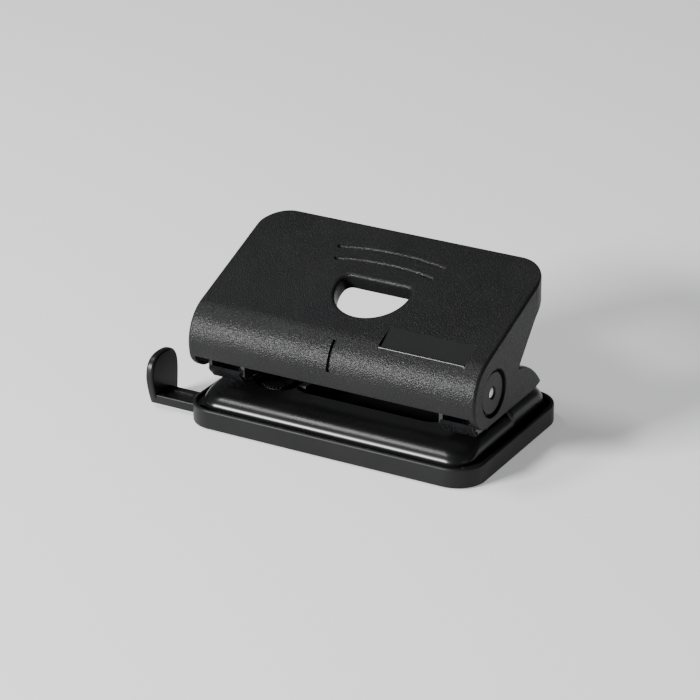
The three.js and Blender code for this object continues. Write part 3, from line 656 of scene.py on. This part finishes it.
# %% The label field and its bead
LABEL_LEFT = 14.2
LABEL_RIGHT = HANDLE_X - 6.1
LABEL_TURN = 125.5
LABEL_FOOT = arc(PIVOT_Y, PIVOT_Z, ROLL - 0.6, LABEL_TURN, LABEL_TURN, 1)[0]
LABEL_END = on_handle(5.2, ROLL)
BEAD_R = 0.32
BEAD_TURN = math.radians(126.0)
BEAD = (PIVOT_Y + (ROLL - 0.1) * math.cos(BEAD_TURN), PIVOT_Z + (ROLL - 0.1) * math.sin(BEAD_TURN))
print(f"label field from x {LABEL_LEFT} to {LABEL_RIGHT:.1f}")


def label_cutter():
    out = arc(PIVOT_Y, PIVOT_Z, 1.4 * ROLL, LABEL_TURN, LABEL_TURN, 1)[0]
    above = (LABEL_END[0] - 3, LABEL_END[1] + 8)
    return slab("label_cutter", [out, LABEL_FOOT, LABEL_END, above], LABEL_LEFT, LABEL_RIGHT)


def label_bead():
    """The thin raised line along the label field's lower edge."""
    return slab("label_bead", arc(*BEAD, BEAD_R, 0, 330, 11), LABEL_LEFT + 0.2, LABEL_RIGHT - 0.2)


def smooth_label(handle):
    """Gives the label field's faces the matt finish, and the bead's the glossy one."""
    along = Vector((0, LABEL_END[0] - LABEL_FOOT[0], LABEL_END[1] - LABEL_FOOT[1])).normalized()
    out = Vector((1, 0, 0)).cross(along)
    handle.data.materials.append(label_matt)
    handle.data.materials.append(base_enamel)
    for face in handle.data.polygons:
        x, y, z = face.center / MM
        z -= STAND
        away = Vector((0, y - LABEL_FOOT[0], z - LABEL_FOOT[1])).dot(out)
        on_bead = math.hypot(y - BEAD[0], z - BEAD[1]) < BEAD_R + 0.04
        on_field = abs(face.normal.dot(out)) > 0.999 and abs(away) < 0.05
        if on_field and LABEL_LEFT - 0.2 < x < LABEL_RIGHT + 0.1:
            face.material_index = 1
        elif on_bead and LABEL_LEFT + 0.1 < x < LABEL_RIGHT - 0.1:
            face.material_index = 2


# %% [markdown]
# ## The hollow and the finished handle
# The inside follows the outside one wall away. Its cutter is the meet of two slabs: the side view of
# the hollow, and its plan with the two rear corners rounded. Then come the bosses and the pockets for
# the pivot bushes, the collar, and last the cuts that go through everything.

# %% The hollow
def hollow_cutter():
    inner = ROLL - WALL
    far = 3 * ROLL
    lip = math.radians(ROLL_END)
    outline = arc(PIVOT_Y, PIVOT_Z, inner, ROLL_END, math.degrees(SLOPE) + 90, 48)
    outline += [on_handle(55, inner), (TOP_REAR + 8, PIVOT_Z - far), (PIVOT_Y - far, PIVOT_Z - far),
                (PIVOT_Y + far * math.cos(lip), PIVOT_Z + far * math.sin(lip))]
    inside = HANDLE_X - CHEEK
    hollow = slab("hollow_cutter", outline, -inside, inside)
    plan = rounded(-inside, inside, PIVOT_Y - 60, TOP_REAR - 0.5 - WALL, 1, 12, rear=CORNER - CHEEK)
    upper = slab("plan", plan, NOTCH[1] - 0.5, 80, axis="Z")
    below = block("below", -inside, inside, PIVOT_Y - 60, TOP_REAR, -40, NOTCH[1])
    return combine(hollow, [join(upper, below)], "INTERSECT")


# %% The handle, put together
POCKET_R = 7.45
POCKET_DEPTH = 1.7
HUB_R = 4.3
BOSS_R = 8.8
BOSS_X = span("punch_bracket_right")[1].x + 0.3


def build_handle():
    handle = cut(handle_shell(), hollow_cutter())
    rim = 0.35
    face = HANDLE_X
    pivot = (PIVOT_Y, PIVOT_Z)
    for side in (-1, 1):
        boss = spun("boss", [(BOSS_R, side * BOSS_X), (BOSS_R, side * (face - CHEEK + 0.2))], pivot, "X")
        pocket = spun("pocket", [(POCKET_R, side * (face - POCKET_DEPTH)), (POCKET_R, side * (face - rim)),
                                 (POCKET_R + 0.1, side * (face - 0.1)), (POCKET_R + rim, side * face),
                                 (POCKET_R + rim, side * (face + 1))], pivot, "X", 96)
        hub = spun("hub", [(HUB_R + 0.2, side * (BOSS_X - 1)), (HUB_R + 0.2, side * (face + 1))], pivot, "X")
        cut(join(handle, boss), pocket, hub)
    join(handle, finger_collar())
    cut(handle, finger_cutter(), *[groove_cutter(half, at) for half, at in GROOVES], label_cutter(),
        slit_cutter())
    join(handle, label_bead())
    finish_piece(handle, "handle_cover", handle_plastic)
    smooth_label(handle)


build_handle()

# %% [markdown]
# ## The base
# The base is one sheet of steel, drawn over a form. Its front half has a sloping apron and a flat
# deck, and its rear half is higher, so that the step between them stops the paper. Each half is a
# stack of rounded rectangles that shrink as they rise. `base_half` makes the outside, and the same
# call with an `inset` of one sheet's thickness makes the hollow below it.

# %% The metal base
SHEET = 1.2
SKIRT = base_low.z
DECK = 10.7
STEP_Y = 2.2
APRON = [(0, SKIRT), (0, 4.6), (0, 6.0)] + bezier((0, 6.0), (0.2, 8.3), (4.4, DECK), (9.8, DECK), 20)


def side_inset(z, top):
    """How far the ends have leant in at a level. They round over into the deck at the top."""
    height, lean = 4.5, 3.2
    rise = min(max((z - top + height) / height, 0), 1)
    return lean * (1 - math.sqrt(1 - rise * rise))


def base_half(part, inset):
    low = SKIRT - 2 if inset else SKIRT
    top = (DECK if part == "front" else REAR_DECK) - inset
    rings = []
    if part == "front":
        for away, z in APRON:
            level = max(z - inset, low) if z > SKIRT else low
            half = BASE_X - 0.02 - inset - side_inset(level, top)
            corner = 7 - inset + 0.3 * away
            plan = rounded(-half, half, away + inset - BASE_Y, 10, corner, 10, rear=0.5)
            rings.append(placed(plan, level, "Z"))
        return loft("front_half", rings)
    curve = [(0, low), (0, low + 1.2)] + bezier((0, top - 6.5), (0, top - 2.5), (3.5, top), (8, top), 16)
    for away, z in curve:
        half = BASE_X - inset - side_inset(z, top)
        turn = min(max((z - top + 0.8) / 0.8, 0), 1)
        step = STEP_Y + inset + 0.8 * (1 - math.sqrt(1 - turn * turn))
        corner = 7 - inset + 0.3 * away
        plan = rounded(-half, half, step, BASE_Y - inset - away, 1.5, 10, rear=corner)
        rings.append(placed(plan, z, "Z"))
    return loft("rear_half", rings)


def flared_cutter(name, outline, top, flare):
    """Cuts a hole whose rim rolls down into it."""
    rings = [placed(outline, top - 4, "Z"), placed(outline, top - flare, "Z")]
    for i in range(1, 6):
        turn = math.pi / 2 * i / 5
        level = top - flare + flare * math.sin(turn)
        rings.append(placed(inset(outline, -flare * (1 - math.cos(turn))), level, "Z"))
    rings.append(placed(inset(outline, -flare), top + 1, "Z"))
    return loft(name, rings)


LOCK_X = -28.2
LOCK_Y = -12.3
RIM = 0.6


def build_base():
    base = join(base_half("front", 0), base_half("rear", 0))
    cut(base, join(base_half("front", SHEET), base_half("rear", SHEET)))
    opening = rounded(-22.2, PIN_X - 8.5, STEP_Y - 15.7, STEP_Y - 1.2, 7.0, 14)
    notch = rounded(LOCK_X - 6.4, LOCK_X + 7.4, LOCK_Y - 4.0, LOCK_Y + 8.4, 6.15, 14)
    cut(base, flared_cutter("deck_opening", opening, DECK, RIM),
        flared_cutter("lock_notch", notch, DECK, RIM))
    die_r = 4.05
    for side in (-1, 1):
        near, far = sorted((side * 39.7, side * 60))   # room for the guide's box in the tray
        cut(base, spun("die_hole", [(die_r, 5), (die_r, 12)], (side * PIN_X, PIN_Y)),
            block("end_notch", near, far, -26.8, -13.8, 0, 5.7))
    cut(base, block("catch_slot", LOCK_X - 1.4, LOCK_X + 3.8, 4.5, 8.5, REAR_DECK - 3, REAR_DECK + 1))
    finish_piece(base, "metal_base", base_enamel, 30)


build_base()

# %% [markdown]
# ## The chip tray
# The tray is a moulding with one even wall. We follow its section from the underside, up the outside,
# over the rounded rim and down to the ledge that carries the base, then to the floor. The guide's
# channel runs through a raised box at the front. Below the floor a round disc reaches down to the
# table between the four rubber feet, and takes the push of the hand.

# %% The tray and its feet
TRAY_CORNER = 9.6
TRAY_WALL = 1.4
LEDGE = 3.3
BAR_FRONT = -25.1
BAR_BACK = -16.5
REAR_FOOT = (9, TRAY_Y - 8.2, 4)      # from the tray's end, y and radius
FRONT_FOOT = (16, 3.2 - TRAY_Y, 2)
FEET = {"rear_left": REAR_FOOT, "rear_right": REAR_FOOT, "front_left": FRONT_FOOT, "front_right": FRONT_FOOT}


def tray_outline(distance):
    return rounded(distance - TRAY_X, TRAY_X - distance, distance - TRAY_Y, TRAY_Y - distance,
                   TRAY_CORNER - distance, 12)


def foot_place(name):
    along, y, radius = FEET[name]
    return (TRAY_X - along) * (1 if "right" in name else -1), y, radius


def build_tray():
    rim = TRAY_WALL / 2
    section = [(0.3, 0), (0.1, 0.08), (0, 0.3), (0, TRAY_TOP - rim)]
    section += [(rim - rim * math.cos(t), TRAY_TOP - rim + rim * math.sin(t)) for t in
                [math.pi * i / 8 for i in range(1, 8)]]
    inner = TRAY_WALL + 2.9
    section += [(TRAY_WALL, TRAY_TOP - rim), (TRAY_WALL, LEDGE), (inner, LEDGE), (inner, 1.2)]
    tray = loft("chip_tray_shell", [placed(tray_outline(away), z, "Z") for away, z in section])
    cover = block("cover", -60, 60, BAR_FRONT - 1.4, BAR_BACK + 2.4, 0.5, 5.4, 0.2)
    cover = combine(cover, [slab("inside", tray_outline(0.5), 0.4, 6, axis="Z")], "INTERSECT")
    rest_r = 14
    join(tray, cover, spun("rest", [(rest_r - 0.1, -STAND), (rest_r, -STAND + 0.1), (rest_r, 0.4)], (0, 4)))
    cut(tray, block("channel", -60, TRAY_X - 1.8, BAR_FRONT - 0.2, BAR_BACK + 0.2, 0.8, 4.2),
        block("detent_pocket", 2.3 - TRAY_X, 17.7 - TRAY_X, BAR_BACK - 1, BAR_BACK + 1.2, 0.8, 4.2))
    for name in FEET:
        x, y, radius = foot_place(name)
        cut(tray, spun("foot_hole", [(radius + 0.2, -2), (radius + 0.2, 0.55)], (x, y), sides=40))
    finish_piece(tray, "chip_tray", tray_plastic, 30)


def build_foot(name):
    x, y, radius = foot_place(name)
    profile = [(radius - 0.5, -STAND), (radius - 0.2, 0.1 - STAND), (radius, 0.3 - STAND), (radius, 0.5)]
    finish_piece(spun("foot", profile, (x, y)), "foot_pad_" + name, foot_rubber)


build_tray()
for name in FEET:
    build_foot(name)

# %% [markdown]
# ## The paper guide
# A flat bar slides in the channel and carries an upright tab. The tab is a slab with a wide rounded
# edge, and a shallow recess in the bar's outer end takes a fingernail. Four notches in the bar's
# back edge meet the detent leaf: one with the guide pushed in, and one for each sheet width.

# %% The paper guide
def tab_outline():
    """The tab seen from the end, narrower at its foot and round at the top."""
    y = (BAR_FRONT + BAR_BACK) / 2 + 1.3
    half = 7.65
    low = guide_low.z
    top = guide_high.z
    left = y - half
    right = y + half
    outline = [(left + 2.4, low)]
    outline += bezier(outline[0], (left + 1.1, low + 3.2), (left + 0.3, low + 6.2), (left, low + 9.0), 8)
    outline += bezier(outline[-1], (left + 0.2, top - 1.3), (left + 3, top), (y - 0.4, top), 14)
    outline += bezier(outline[-1], (y + half * 0.7, top), (right, top - 2.2), (right, low + 8), 14)
    outline += bezier(outline[-1], (right - 0.1, low + 5.3), (right - 0.3, low + 2.6), (right - 0.6, low), 6)
    return outline


def build_guide():
    reach = guide_low.x
    inner = reach + 2.6
    bar = block("guide", inner - 1.0, guide_high.x, BAR_FRONT, BAR_BACK, 1.0, 4.0, 0.35)
    recess = rounded(inner + 1, -TRAY_X - 1.2, BAR_FRONT + 0.9, BAR_BACK - 2.6, 2.4, 10)
    cut(bar, slab("recess", recess, 3.5, 6, axis="Z"))
    detent_x = 10 - TRAY_X
    closed = -2 * inner
    for sheet in (closed, 148, 210, 297):
        x = detent_x + sheet / 2 + inner
        notch = [(x - 1.8, BAR_BACK + 0.7), (x, BAR_BACK - 0.7), (x + 1.8, BAR_BACK + 0.7)]
        cut(bar, slab("notch", notch, 0, 5, axis="Z"))
    join(bar, slab("tab", tab_outline(), reach, inner, 0.8, "X", 5))
    finish_piece(bar, "guide_bar", smooth_plastic, 34)


build_guide()

# %% [markdown]
# ## The punching brackets
# Each bracket is folded from one strip, so its outside corners are round. We push the folded U
# section along Y and keep only what lies inside the side view. The lip is a slab of its own, with
# rounded edges that catch the light below the roll.

# %% The brackets and their rivets
BRACKET_SHEET = 1.2
WEB_LOW = REAR_DECK + 0.05
WEB_HIGH = WEB_LOW + BRACKET_SHEET
NOSE = ROLL - WALL - 4
LIP_FOOT = PIVOT_Y - NOSE + 2.3
RIVET_Y = (STEP_Y + 4.6, STEP_Y + 12.6)
PIN_BORE = 2.95


def folded_section(low, high):
    """The U of the bent strip in (x, z), between its two outer sides."""
    wall = BRACKET_SHEET
    outer = 1.5
    top = PIVOT_Z + NOSE + 2
    left = [(low, top)] + arc(low + outer, WEB_LOW + outer, outer, 180, 270, 8)
    right = arc(high - outer, WEB_LOW + outer, outer, 270, 360, 8) + [(high, top)]
    inner = 0.4
    back = [(high - wall, top)] + arc(high - wall - inner, WEB_HIGH + inner, inner, 0, -90, 4)
    front = arc(low + wall + inner, WEB_HIGH + inner, inner, 270, 180, 4) + [(low + wall, top)]
    return left + right + back + front


def bracket_side():
    rear = span("punch_bracket_right")[1].y
    outline = [(LIP_FOOT + 0.6, WEB_LOW), (rear, WEB_LOW), (rear - 0.6, WEB_HIGH + 2.4)]
    outline.append((PIVOT_Y + 10, PIVOT_Z + 1.2))
    outline += bezier(outline[-1], (PIVOT_Y + NOSE + 1.2, PIVOT_Z + NOSE - 1.8),
                      (PIVOT_Y + NOSE - 2.2, PIVOT_Z + NOSE), (PIVOT_Y, PIVOT_Z + NOSE), 10)
    outline += arc(PIVOT_Y, PIVOT_Z, NOSE, 90, 180, 20)[1:]
    return outline + [(PIVOT_Y - NOSE, WEB_LOW + 4.0)]


def build_bracket(side, name):
    low, high = span("punch_bracket_" + name)
    channel = slab("bracket_" + name, folded_section(low.x, high.x), LIP_FOOT - 1, high.y + 1, axis="Y")
    combine(channel, [slab("side_view", bracket_side(), low.x - 1, high.x + 1)], "INTERSECT")
    cut(channel, spun("axle_hole", [(AXLE_R + 0.2, low.x - 1), (AXLE_R + 0.2, high.x + 1)],
                      (PIVOT_Y, PIVOT_Z), "X"),
        spun("pin_hole", [(PIN_BORE, 5), (PIN_BORE, WEB_HIGH + 1)], (side * PIN_X, PIN_Y)))
    lip_rise = 3.4
    tip = LIP_FOOT - lip_rise * 0.82
    lip = [(tip, WEB_LOW + lip_rise), (LIP_FOOT, WEB_LOW), (LIP_FOOT + 2, WEB_LOW), (LIP_FOOT + 2, WEB_HIGH),
           (LIP_FOOT + 0.55, WEB_HIGH), (tip + 0.95, WEB_LOW + lip_rise + 0.75)]
    join(channel, slab("lip", lip, low.x + 0.9, high.x - 0.9, 0.22))
    finish_piece(channel, "punch_bracket_" + name, bracket_steel, 34)


def build_rivet(side, name, y, place):
    under = REAR_DECK - SHEET - 0.05
    shank = 1.5
    head = 2.6
    seat = WEB_HIGH + 0.05
    profile = [(2.2, under - 0.8), (head, under - 0.3), (head, under), (shank, under), (shank, seat),
               (head - 0.1, seat)]
    profile += [(head * math.cos(t), WEB_HIGH + 0.1 + 1.1 * math.sin(t))
                for t in (0.15, 0.4, 0.7, 1.0, 1.3, 1.5)]
    rivet = spun("rivet", profile, (side * PIN_X, y), sides=48)
    finish_piece(rivet, f"bracket_rivet_{name}_{place}", bright_steel)


for side, name in ((-1, "left"), (1, "right")):
    build_bracket(side, name)
    for y, place in zip(RIVET_Y, ("front", "rear")):
        build_rivet(side, name, y, place)

# %% [markdown]
# ## The axle, the pins and their springs
# These are turned parts, so each one is a profile. The springs are helices of round wire.

# %% Turned steel parts
def rod_end(at, sign, radius):
    """A domed end, from the side to almost the axis."""
    return [(radius * math.cos(t), at + sign * 0.5 * math.sin(t)) for t in (0.0, 0.35, 0.7, 1.05, 1.4)]


def build_axle():
    end = axle_high.x - 0.5
    clip = span("axle_clip_right")
    near, far = clip[0].x - 0.1, clip[1].x + 0.1
    groove = [(AXLE_R, near), (AXLE_R - 0.4, near), (AXLE_R - 0.4, far), (AXLE_R, far)]
    right = [(AXLE_R, 2)] + groove + rod_end(end, 1, AXLE_R)
    left = [(r, -x) for r, x in right[::-1]]
    finish_piece(spun("axle", left + right, (PIVOT_Y, PIVOT_Z), "X"), "axle", bright_steel)


def build_clip(name):
    low, high = span("axle_clip_" + name)
    outer = (high.y - low.y) / 2
    bore = AXLE_R - 0.35
    ring = arc(PIVOT_Y, PIVOT_Z, outer, -62, 242, 40) + arc(PIVOT_Y, PIVOT_Z, bore, 242, -62, 30)
    clip = slab("axle_clip", ring, low.x, high.x, 0.1)
    finish_piece(clip, "axle_clip_" + name, bright_steel)


def build_pin(side, name):
    low, high = span("punch_pin_" + name)
    radius = 2.75
    head = high.x - side * PIN_X
    under = high.z - 1.6
    profile = [(0.4, low.z + 0.6), (radius - 0.25, low.z), (radius - 0.05, low.z + 0.08),
               (radius, low.z + 0.3), (radius, under), (head, under), (head, high.z - 0.3),
               (head - 0.3, high.z), (0.4, high.z)]
    pin = spun("punch_pin", profile, (side * PIN_X, PIN_Y))
    finish_piece(pin, "punch_pin_" + name, bright_steel)


def build_die(side, name):
    low, high = span("die_bush_" + name)
    outer = high.x - side * PIN_X
    profile = [(PIN_BORE, low.z), (outer, low.z), (outer, high.z - 0.15), (outer - 0.15, high.z),
               (PIN_BORE + 0.1, high.z), (PIN_BORE, high.z - 0.1)]
    bush = spun("die_bush", profile, (side * PIN_X, PIN_Y), bored=True)
    finish_piece(bush, "die_bush_" + name, bright_steel)


def build_spring(side, name):
    wire = 0.35
    low, high = span("return_spring_" + name)
    middle = high.x - side * PIN_X - wire
    bottom, top = low.z + wire, high.z - wire
    turns = 6
    steps = turns * 32
    lean = math.atan2(top - bottom, turns * 2 * math.pi * middle)
    rings = []
    for i in range(steps + 1):
        turn = 2 * math.pi * turns * i / steps
        out = Vector((math.cos(turn), math.sin(turn), 0))
        up = Vector((math.sin(turn) * math.sin(lean), -math.cos(turn) * math.sin(lean), math.cos(lean)))
        centre = Vector((side * PIN_X, PIN_Y, bottom + (top - bottom) * i / steps)) + out * middle
        rings.append([tuple(centre + out * wire * math.cos(a) + up * wire * math.sin(a))
                      for a in [2 * math.pi * k / 10 for k in range(10)]])
    spring = loft("return_spring", rings)
    finish_piece(spring, "return_spring_" + name, bright_steel, 60)
    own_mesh(spring)


build_axle()
for side, name in ((-1, "left"), (1, "right")):
    build_clip(name)
    build_pin(side, name)
    build_die(side, name)
    build_spring(side, name)

# %% [markdown]
# ## The lock slider
# A thumb slides the ribbed pad to the right, and the catch behind the paper stop then holds the
# handle down. The ribs follow the pad's oval outline, so the middle ones are the longest.

# %% The lock slider
def build_lock():
    top = DECK - 0.2
    low = span("lock_slider")[0].z
    half = 4.0
    pad = slab("lock_slider_pad", rounded(LOCK_X - half, LOCK_X + half, LOCK_Y - 2.6, LOCK_Y + 2.6, 2.59, 12),
               low, top - 0.5, 0.15, "Z")
    ribs = 7
    pitch = 2 * half / (ribs + 0.6)
    for i in range(ribs):
        away = (i - (ribs - 1) / 2) * pitch
        reach = math.sqrt(1 - (away / half) ** 2) * 2.35
        rib = rounded(LOCK_X + away - 0.3, LOCK_X + away + 0.3, LOCK_Y - reach, LOCK_Y + reach, 0.28, 4)
        join(pad, slab("rib", rib, top - 0.8, top, 0.14, "Z"))
    slide_top = DECK - SHEET - 0.2
    post_top = span("lock_slider")[1].z
    catch = post_top - 1.4
    join(pad, block("arm", LOCK_X - 1.2, LOCK_X + 3.2, LOCK_Y, 9.1, low, slide_top, 0.15),
         block("post", LOCK_X - 0.6, LOCK_X + 0.8, 5.2, 7.8, low, post_top, 0.2),
         block("nose", LOCK_X, LOCK_X + 2.4, 5.6, 7.4, catch - 0.6, catch + 0.6, 0.15))
    finish_piece(pad, "lock_slider", smooth_plastic)


build_lock()

# %% [markdown]
# ## Under the handle
# The press lever is a steel strip screwed to the underside of the top, with two fingers over each
# pin. It and its screws are drawn in the handle's own directions, u up the slope and n out of the
# top, and `on_handle` turns them. The latch tongue is drawn the other way round: we know where its
# window must be when the handle is down, so we turn that place back up about the axle.

# %% The press lever, its screws and the latch
STRIP_TOP = ROLL - WALL - 0.2
STRIP_LOW = STRIP_TOP - 1.4
PRESS_TURN = 21
SCREW_X = (-31, -14, 14, 31)
SCREW_U = 1.1


def sloped(points):
    return [on_handle(u, n) for u, n in points]


def build_lever():
    half = PIN_X + 3.9
    arm = 9.4
    turn = math.radians(10.5) - SLOPE
    nose = (arm * math.cos(turn), arm * math.sin(turn))
    front, rear = -1.4, 3.6
    section = [(front, STRIP_LOW), (rear, STRIP_LOW), (rear, STRIP_TOP), (front, STRIP_TOP)]
    strip = slab("press_lever", sloped(section), -half, half, 0.25)
    across = math.degrees(math.atan2(nose[1] - STRIP_LOW, nose[0] - 2.2))
    tip = arc(*nose, 1.2, across - 80, across + 80, 10)
    finger = sloped([(0.8, STRIP_LOW + 0.3)] + tip + [(rear, STRIP_LOW + 0.3)])
    for side in (-1, 1):
        for offset in (-1.7, 1.7):
            x = side * PIN_X + offset
            join(strip, slab("finger", finger, x - 0.7, x + 0.7, 0.15))
    finish_piece(strip, "press_lever", bracket_steel, 34)


def build_screw(index, x):
    def place(point):
        return (point[0], *on_handle(point[1], point[2]))

    head = STRIP_LOW - 0.05
    profile = [(1.5, head - 1.3), (1.9, head - 1.15), (2.2, head - 0.8), (2.2, head), (0.9, head),
               (0.9, ROLL - 1.1)]
    screw = spun("lever_screw", profile, (x, SCREW_U), sides=40, place=place)
    near, far, deep = SCREW_U - 3, SCREW_U + 3, head - 0.75
    slot = sloped([(near, head - 2), (far, head - 2), (far, deep), (near, deep)])
    cut(screw, slab("slot", slot, x - 0.3, x + 0.3))
    finish_piece(screw, f"lever_screw_{index}", bright_steel)


def build_tongue():
    low, high = span("latch_tongue")
    caught_y, caught_z = 6.5 - PIVOT_Y, REAR_DECK + 6.8 - PIVOT_Z   # the window's middle with the handle down
    turn = math.atan2(caught_z, caught_y) + math.radians(PRESS_TURN)
    reach = math.hypot(caught_y, caught_z)
    y, z = PIVOT_Y + reach * math.cos(turn), PIVOT_Z + reach * math.sin(turn)
    top_y, top_z = on_handle(23.0, STRIP_TOP)
    lean = 3 * math.tan(SLOPE)
    outline = [(y - 2.6, z - 2.2), (y + 2.6, z - 2.2), (y + 3.2, z + 4), (top_y + 3, top_z + lean),
               (top_y - 3, top_z - lean), (y - 3.2, z + 4)]
    tongue = cut(slab("latch_tongue_sheet", outline, low.x, high.x, 0.12),
                 slab("window", rounded(y - 1.6, y + 1.6, z - 1.2, z + 1.2, 0.4, 5), low.x - 1, high.x + 1))
    finish_piece(tongue, "latch_tongue", bright_steel)


def build_bush(side, name):
    low, high = span("pivot_bush_" + name)
    back = HANDLE_X - POCKET_DEPTH + 0.05
    face = max(abs(low.x), abs(high.x))
    disc = POCKET_R - 1
    bore = AXLE_R + 0.2
    profile = [(bore, BOSS_X), (HUB_R, BOSS_X), (HUB_R, back), (disc, back), (disc, face - 0.25),
               (disc - 0.1, face - 0.06), (disc - 0.3, face), (bore + 0.2, face), (bore, face - 0.2)]
    bush = spun("pivot_bush", [(r, side * x) for r, x in profile], (PIVOT_Y, PIVOT_Z), "X", 96, bored=True)
    finish_piece(bush, "pivot_bush_" + name, bush_plastic)


build_lever()
for i, x in enumerate(SCREW_X):
    build_screw(i + 1, x)
build_tongue()
for side, name in ((-1, "left"), (1, "right")):
    build_bush(side, name)

# %% [markdown]
# ## Two pieces that keep their CAD mesh
# The lock's retainer and the guide's detent leaf are flat stamped strips inside the punch. Their CAD
# meshes are already exact, so they only take the plated finish.

# %% The retainer and the detent leaf
for name in ("lock_retainer", "guide_detent"):
    for material_slot in bpy.data.objects[name].material_slots:
        material_slot.material = bright_steel
    print(name, "keeps its CAD mesh")

# %% [markdown]
# ## Camera and light
# A long lens from the front right and above keeps the sides nearly parallel. Black pieces show almost
# only what they reflect, so the room is dark and the light comes from three panels: a low one at the
# front left for the roll, a narrow one overhead for the base's apron, and a weak one on the right for
# the tray's end.

# %% Camera and lights
def build_camera():
    place = Vector((418.91, -751.33, 408.70 + STAND)) * MM
    target = Vector((24.568, -57.579, 51.03 + STAND)) * MM
    back = (place - target).normalized()
    right = Vector((0, 0, 1)).cross(back).normalized()
    up = back.cross(right)
    roll = math.radians(-0.25)
    right, up = right * math.cos(roll) + up * math.sin(roll), up * math.cos(roll) - right * math.sin(roll)
    data = bpy.data.cameras.new("camera")
    data.sensor_width = 36.0
    data.lens = 159.1
    camera = bpy.data.objects.new("camera", data)
    camera.matrix_world = Matrix.Translation(place) @ Matrix((right, up, back)).transposed().to_4x4()
    bpy.context.scene.collection.objects.link(camera)
    bpy.context.scene.camera = camera


def soft_light(name, direction, distance, size, power):
    data = bpy.data.lights.new(name, "AREA")
    data.shape = "RECTANGLE"
    data.size, data.size_y = size
    data.energy = power
    light = bpy.data.objects.new(name, data)
    aim = Vector(direction).normalized()
    light.location = aim * distance + Vector((0, 0, 0.02))
    light.rotation_euler = aim.to_track_quat("Z", "Y").to_euler()
    bpy.context.scene.collection.objects.link(light)


build_camera()
soft_light("front_left", (-0.45, -0.82, 0.35), 1.4, (0.5, 0.13), 44)
soft_light("overhead", (-0.45, -0.17, 0.87), 1.4, (0.5, 0.14), 7)
soft_light("right_fill", (0.9, -0.35, 0.35), 1.6, (0.5, 0.5), 0.8)
print("lights:", [light.name for light in bpy.data.lights])

# %% [markdown]
# ## The room and the floor
# The world gives a faint cool fill. The floor is matt and pale, and it glows a little, so that it
# stays bright although the light is aimed at black pieces.

# %% World and floor
world = bpy.data.worlds.new("studio")
bpy.context.scene.world = world
world.use_nodes = True
background = world.node_tree.nodes["Background"]
background.inputs["Color"].default_value = (0.95, 0.97, 1.0, 1)
background.inputs["Strength"].default_value = 0.12

floor_mesh = bpy.data.meshes.new("floor")
floor_mesh.from_pydata([(-4, -4, 0), (4, -4, 0), (4, 4, 0), (-4, 4, 0)], [], [(0, 1, 2, 3)])
floor = bpy.data.objects.new("floor", floor_mesh)
bpy.context.scene.collection.objects.link(floor)
paint = bpy.data.materials.new("floor_paint")
paint.use_nodes = True
paper = paint.node_tree.nodes["Principled BSDF"]
paper.inputs["Base Color"].default_value = (0.9, 0.9, 0.9, 1)
paper.inputs["Roughness"].default_value = 0.9
paper.inputs["Emission Color"].default_value = (1, 1, 1, 1)
paper.inputs["Emission Strength"].default_value = 0.3
floor_mesh.materials.append(paint)
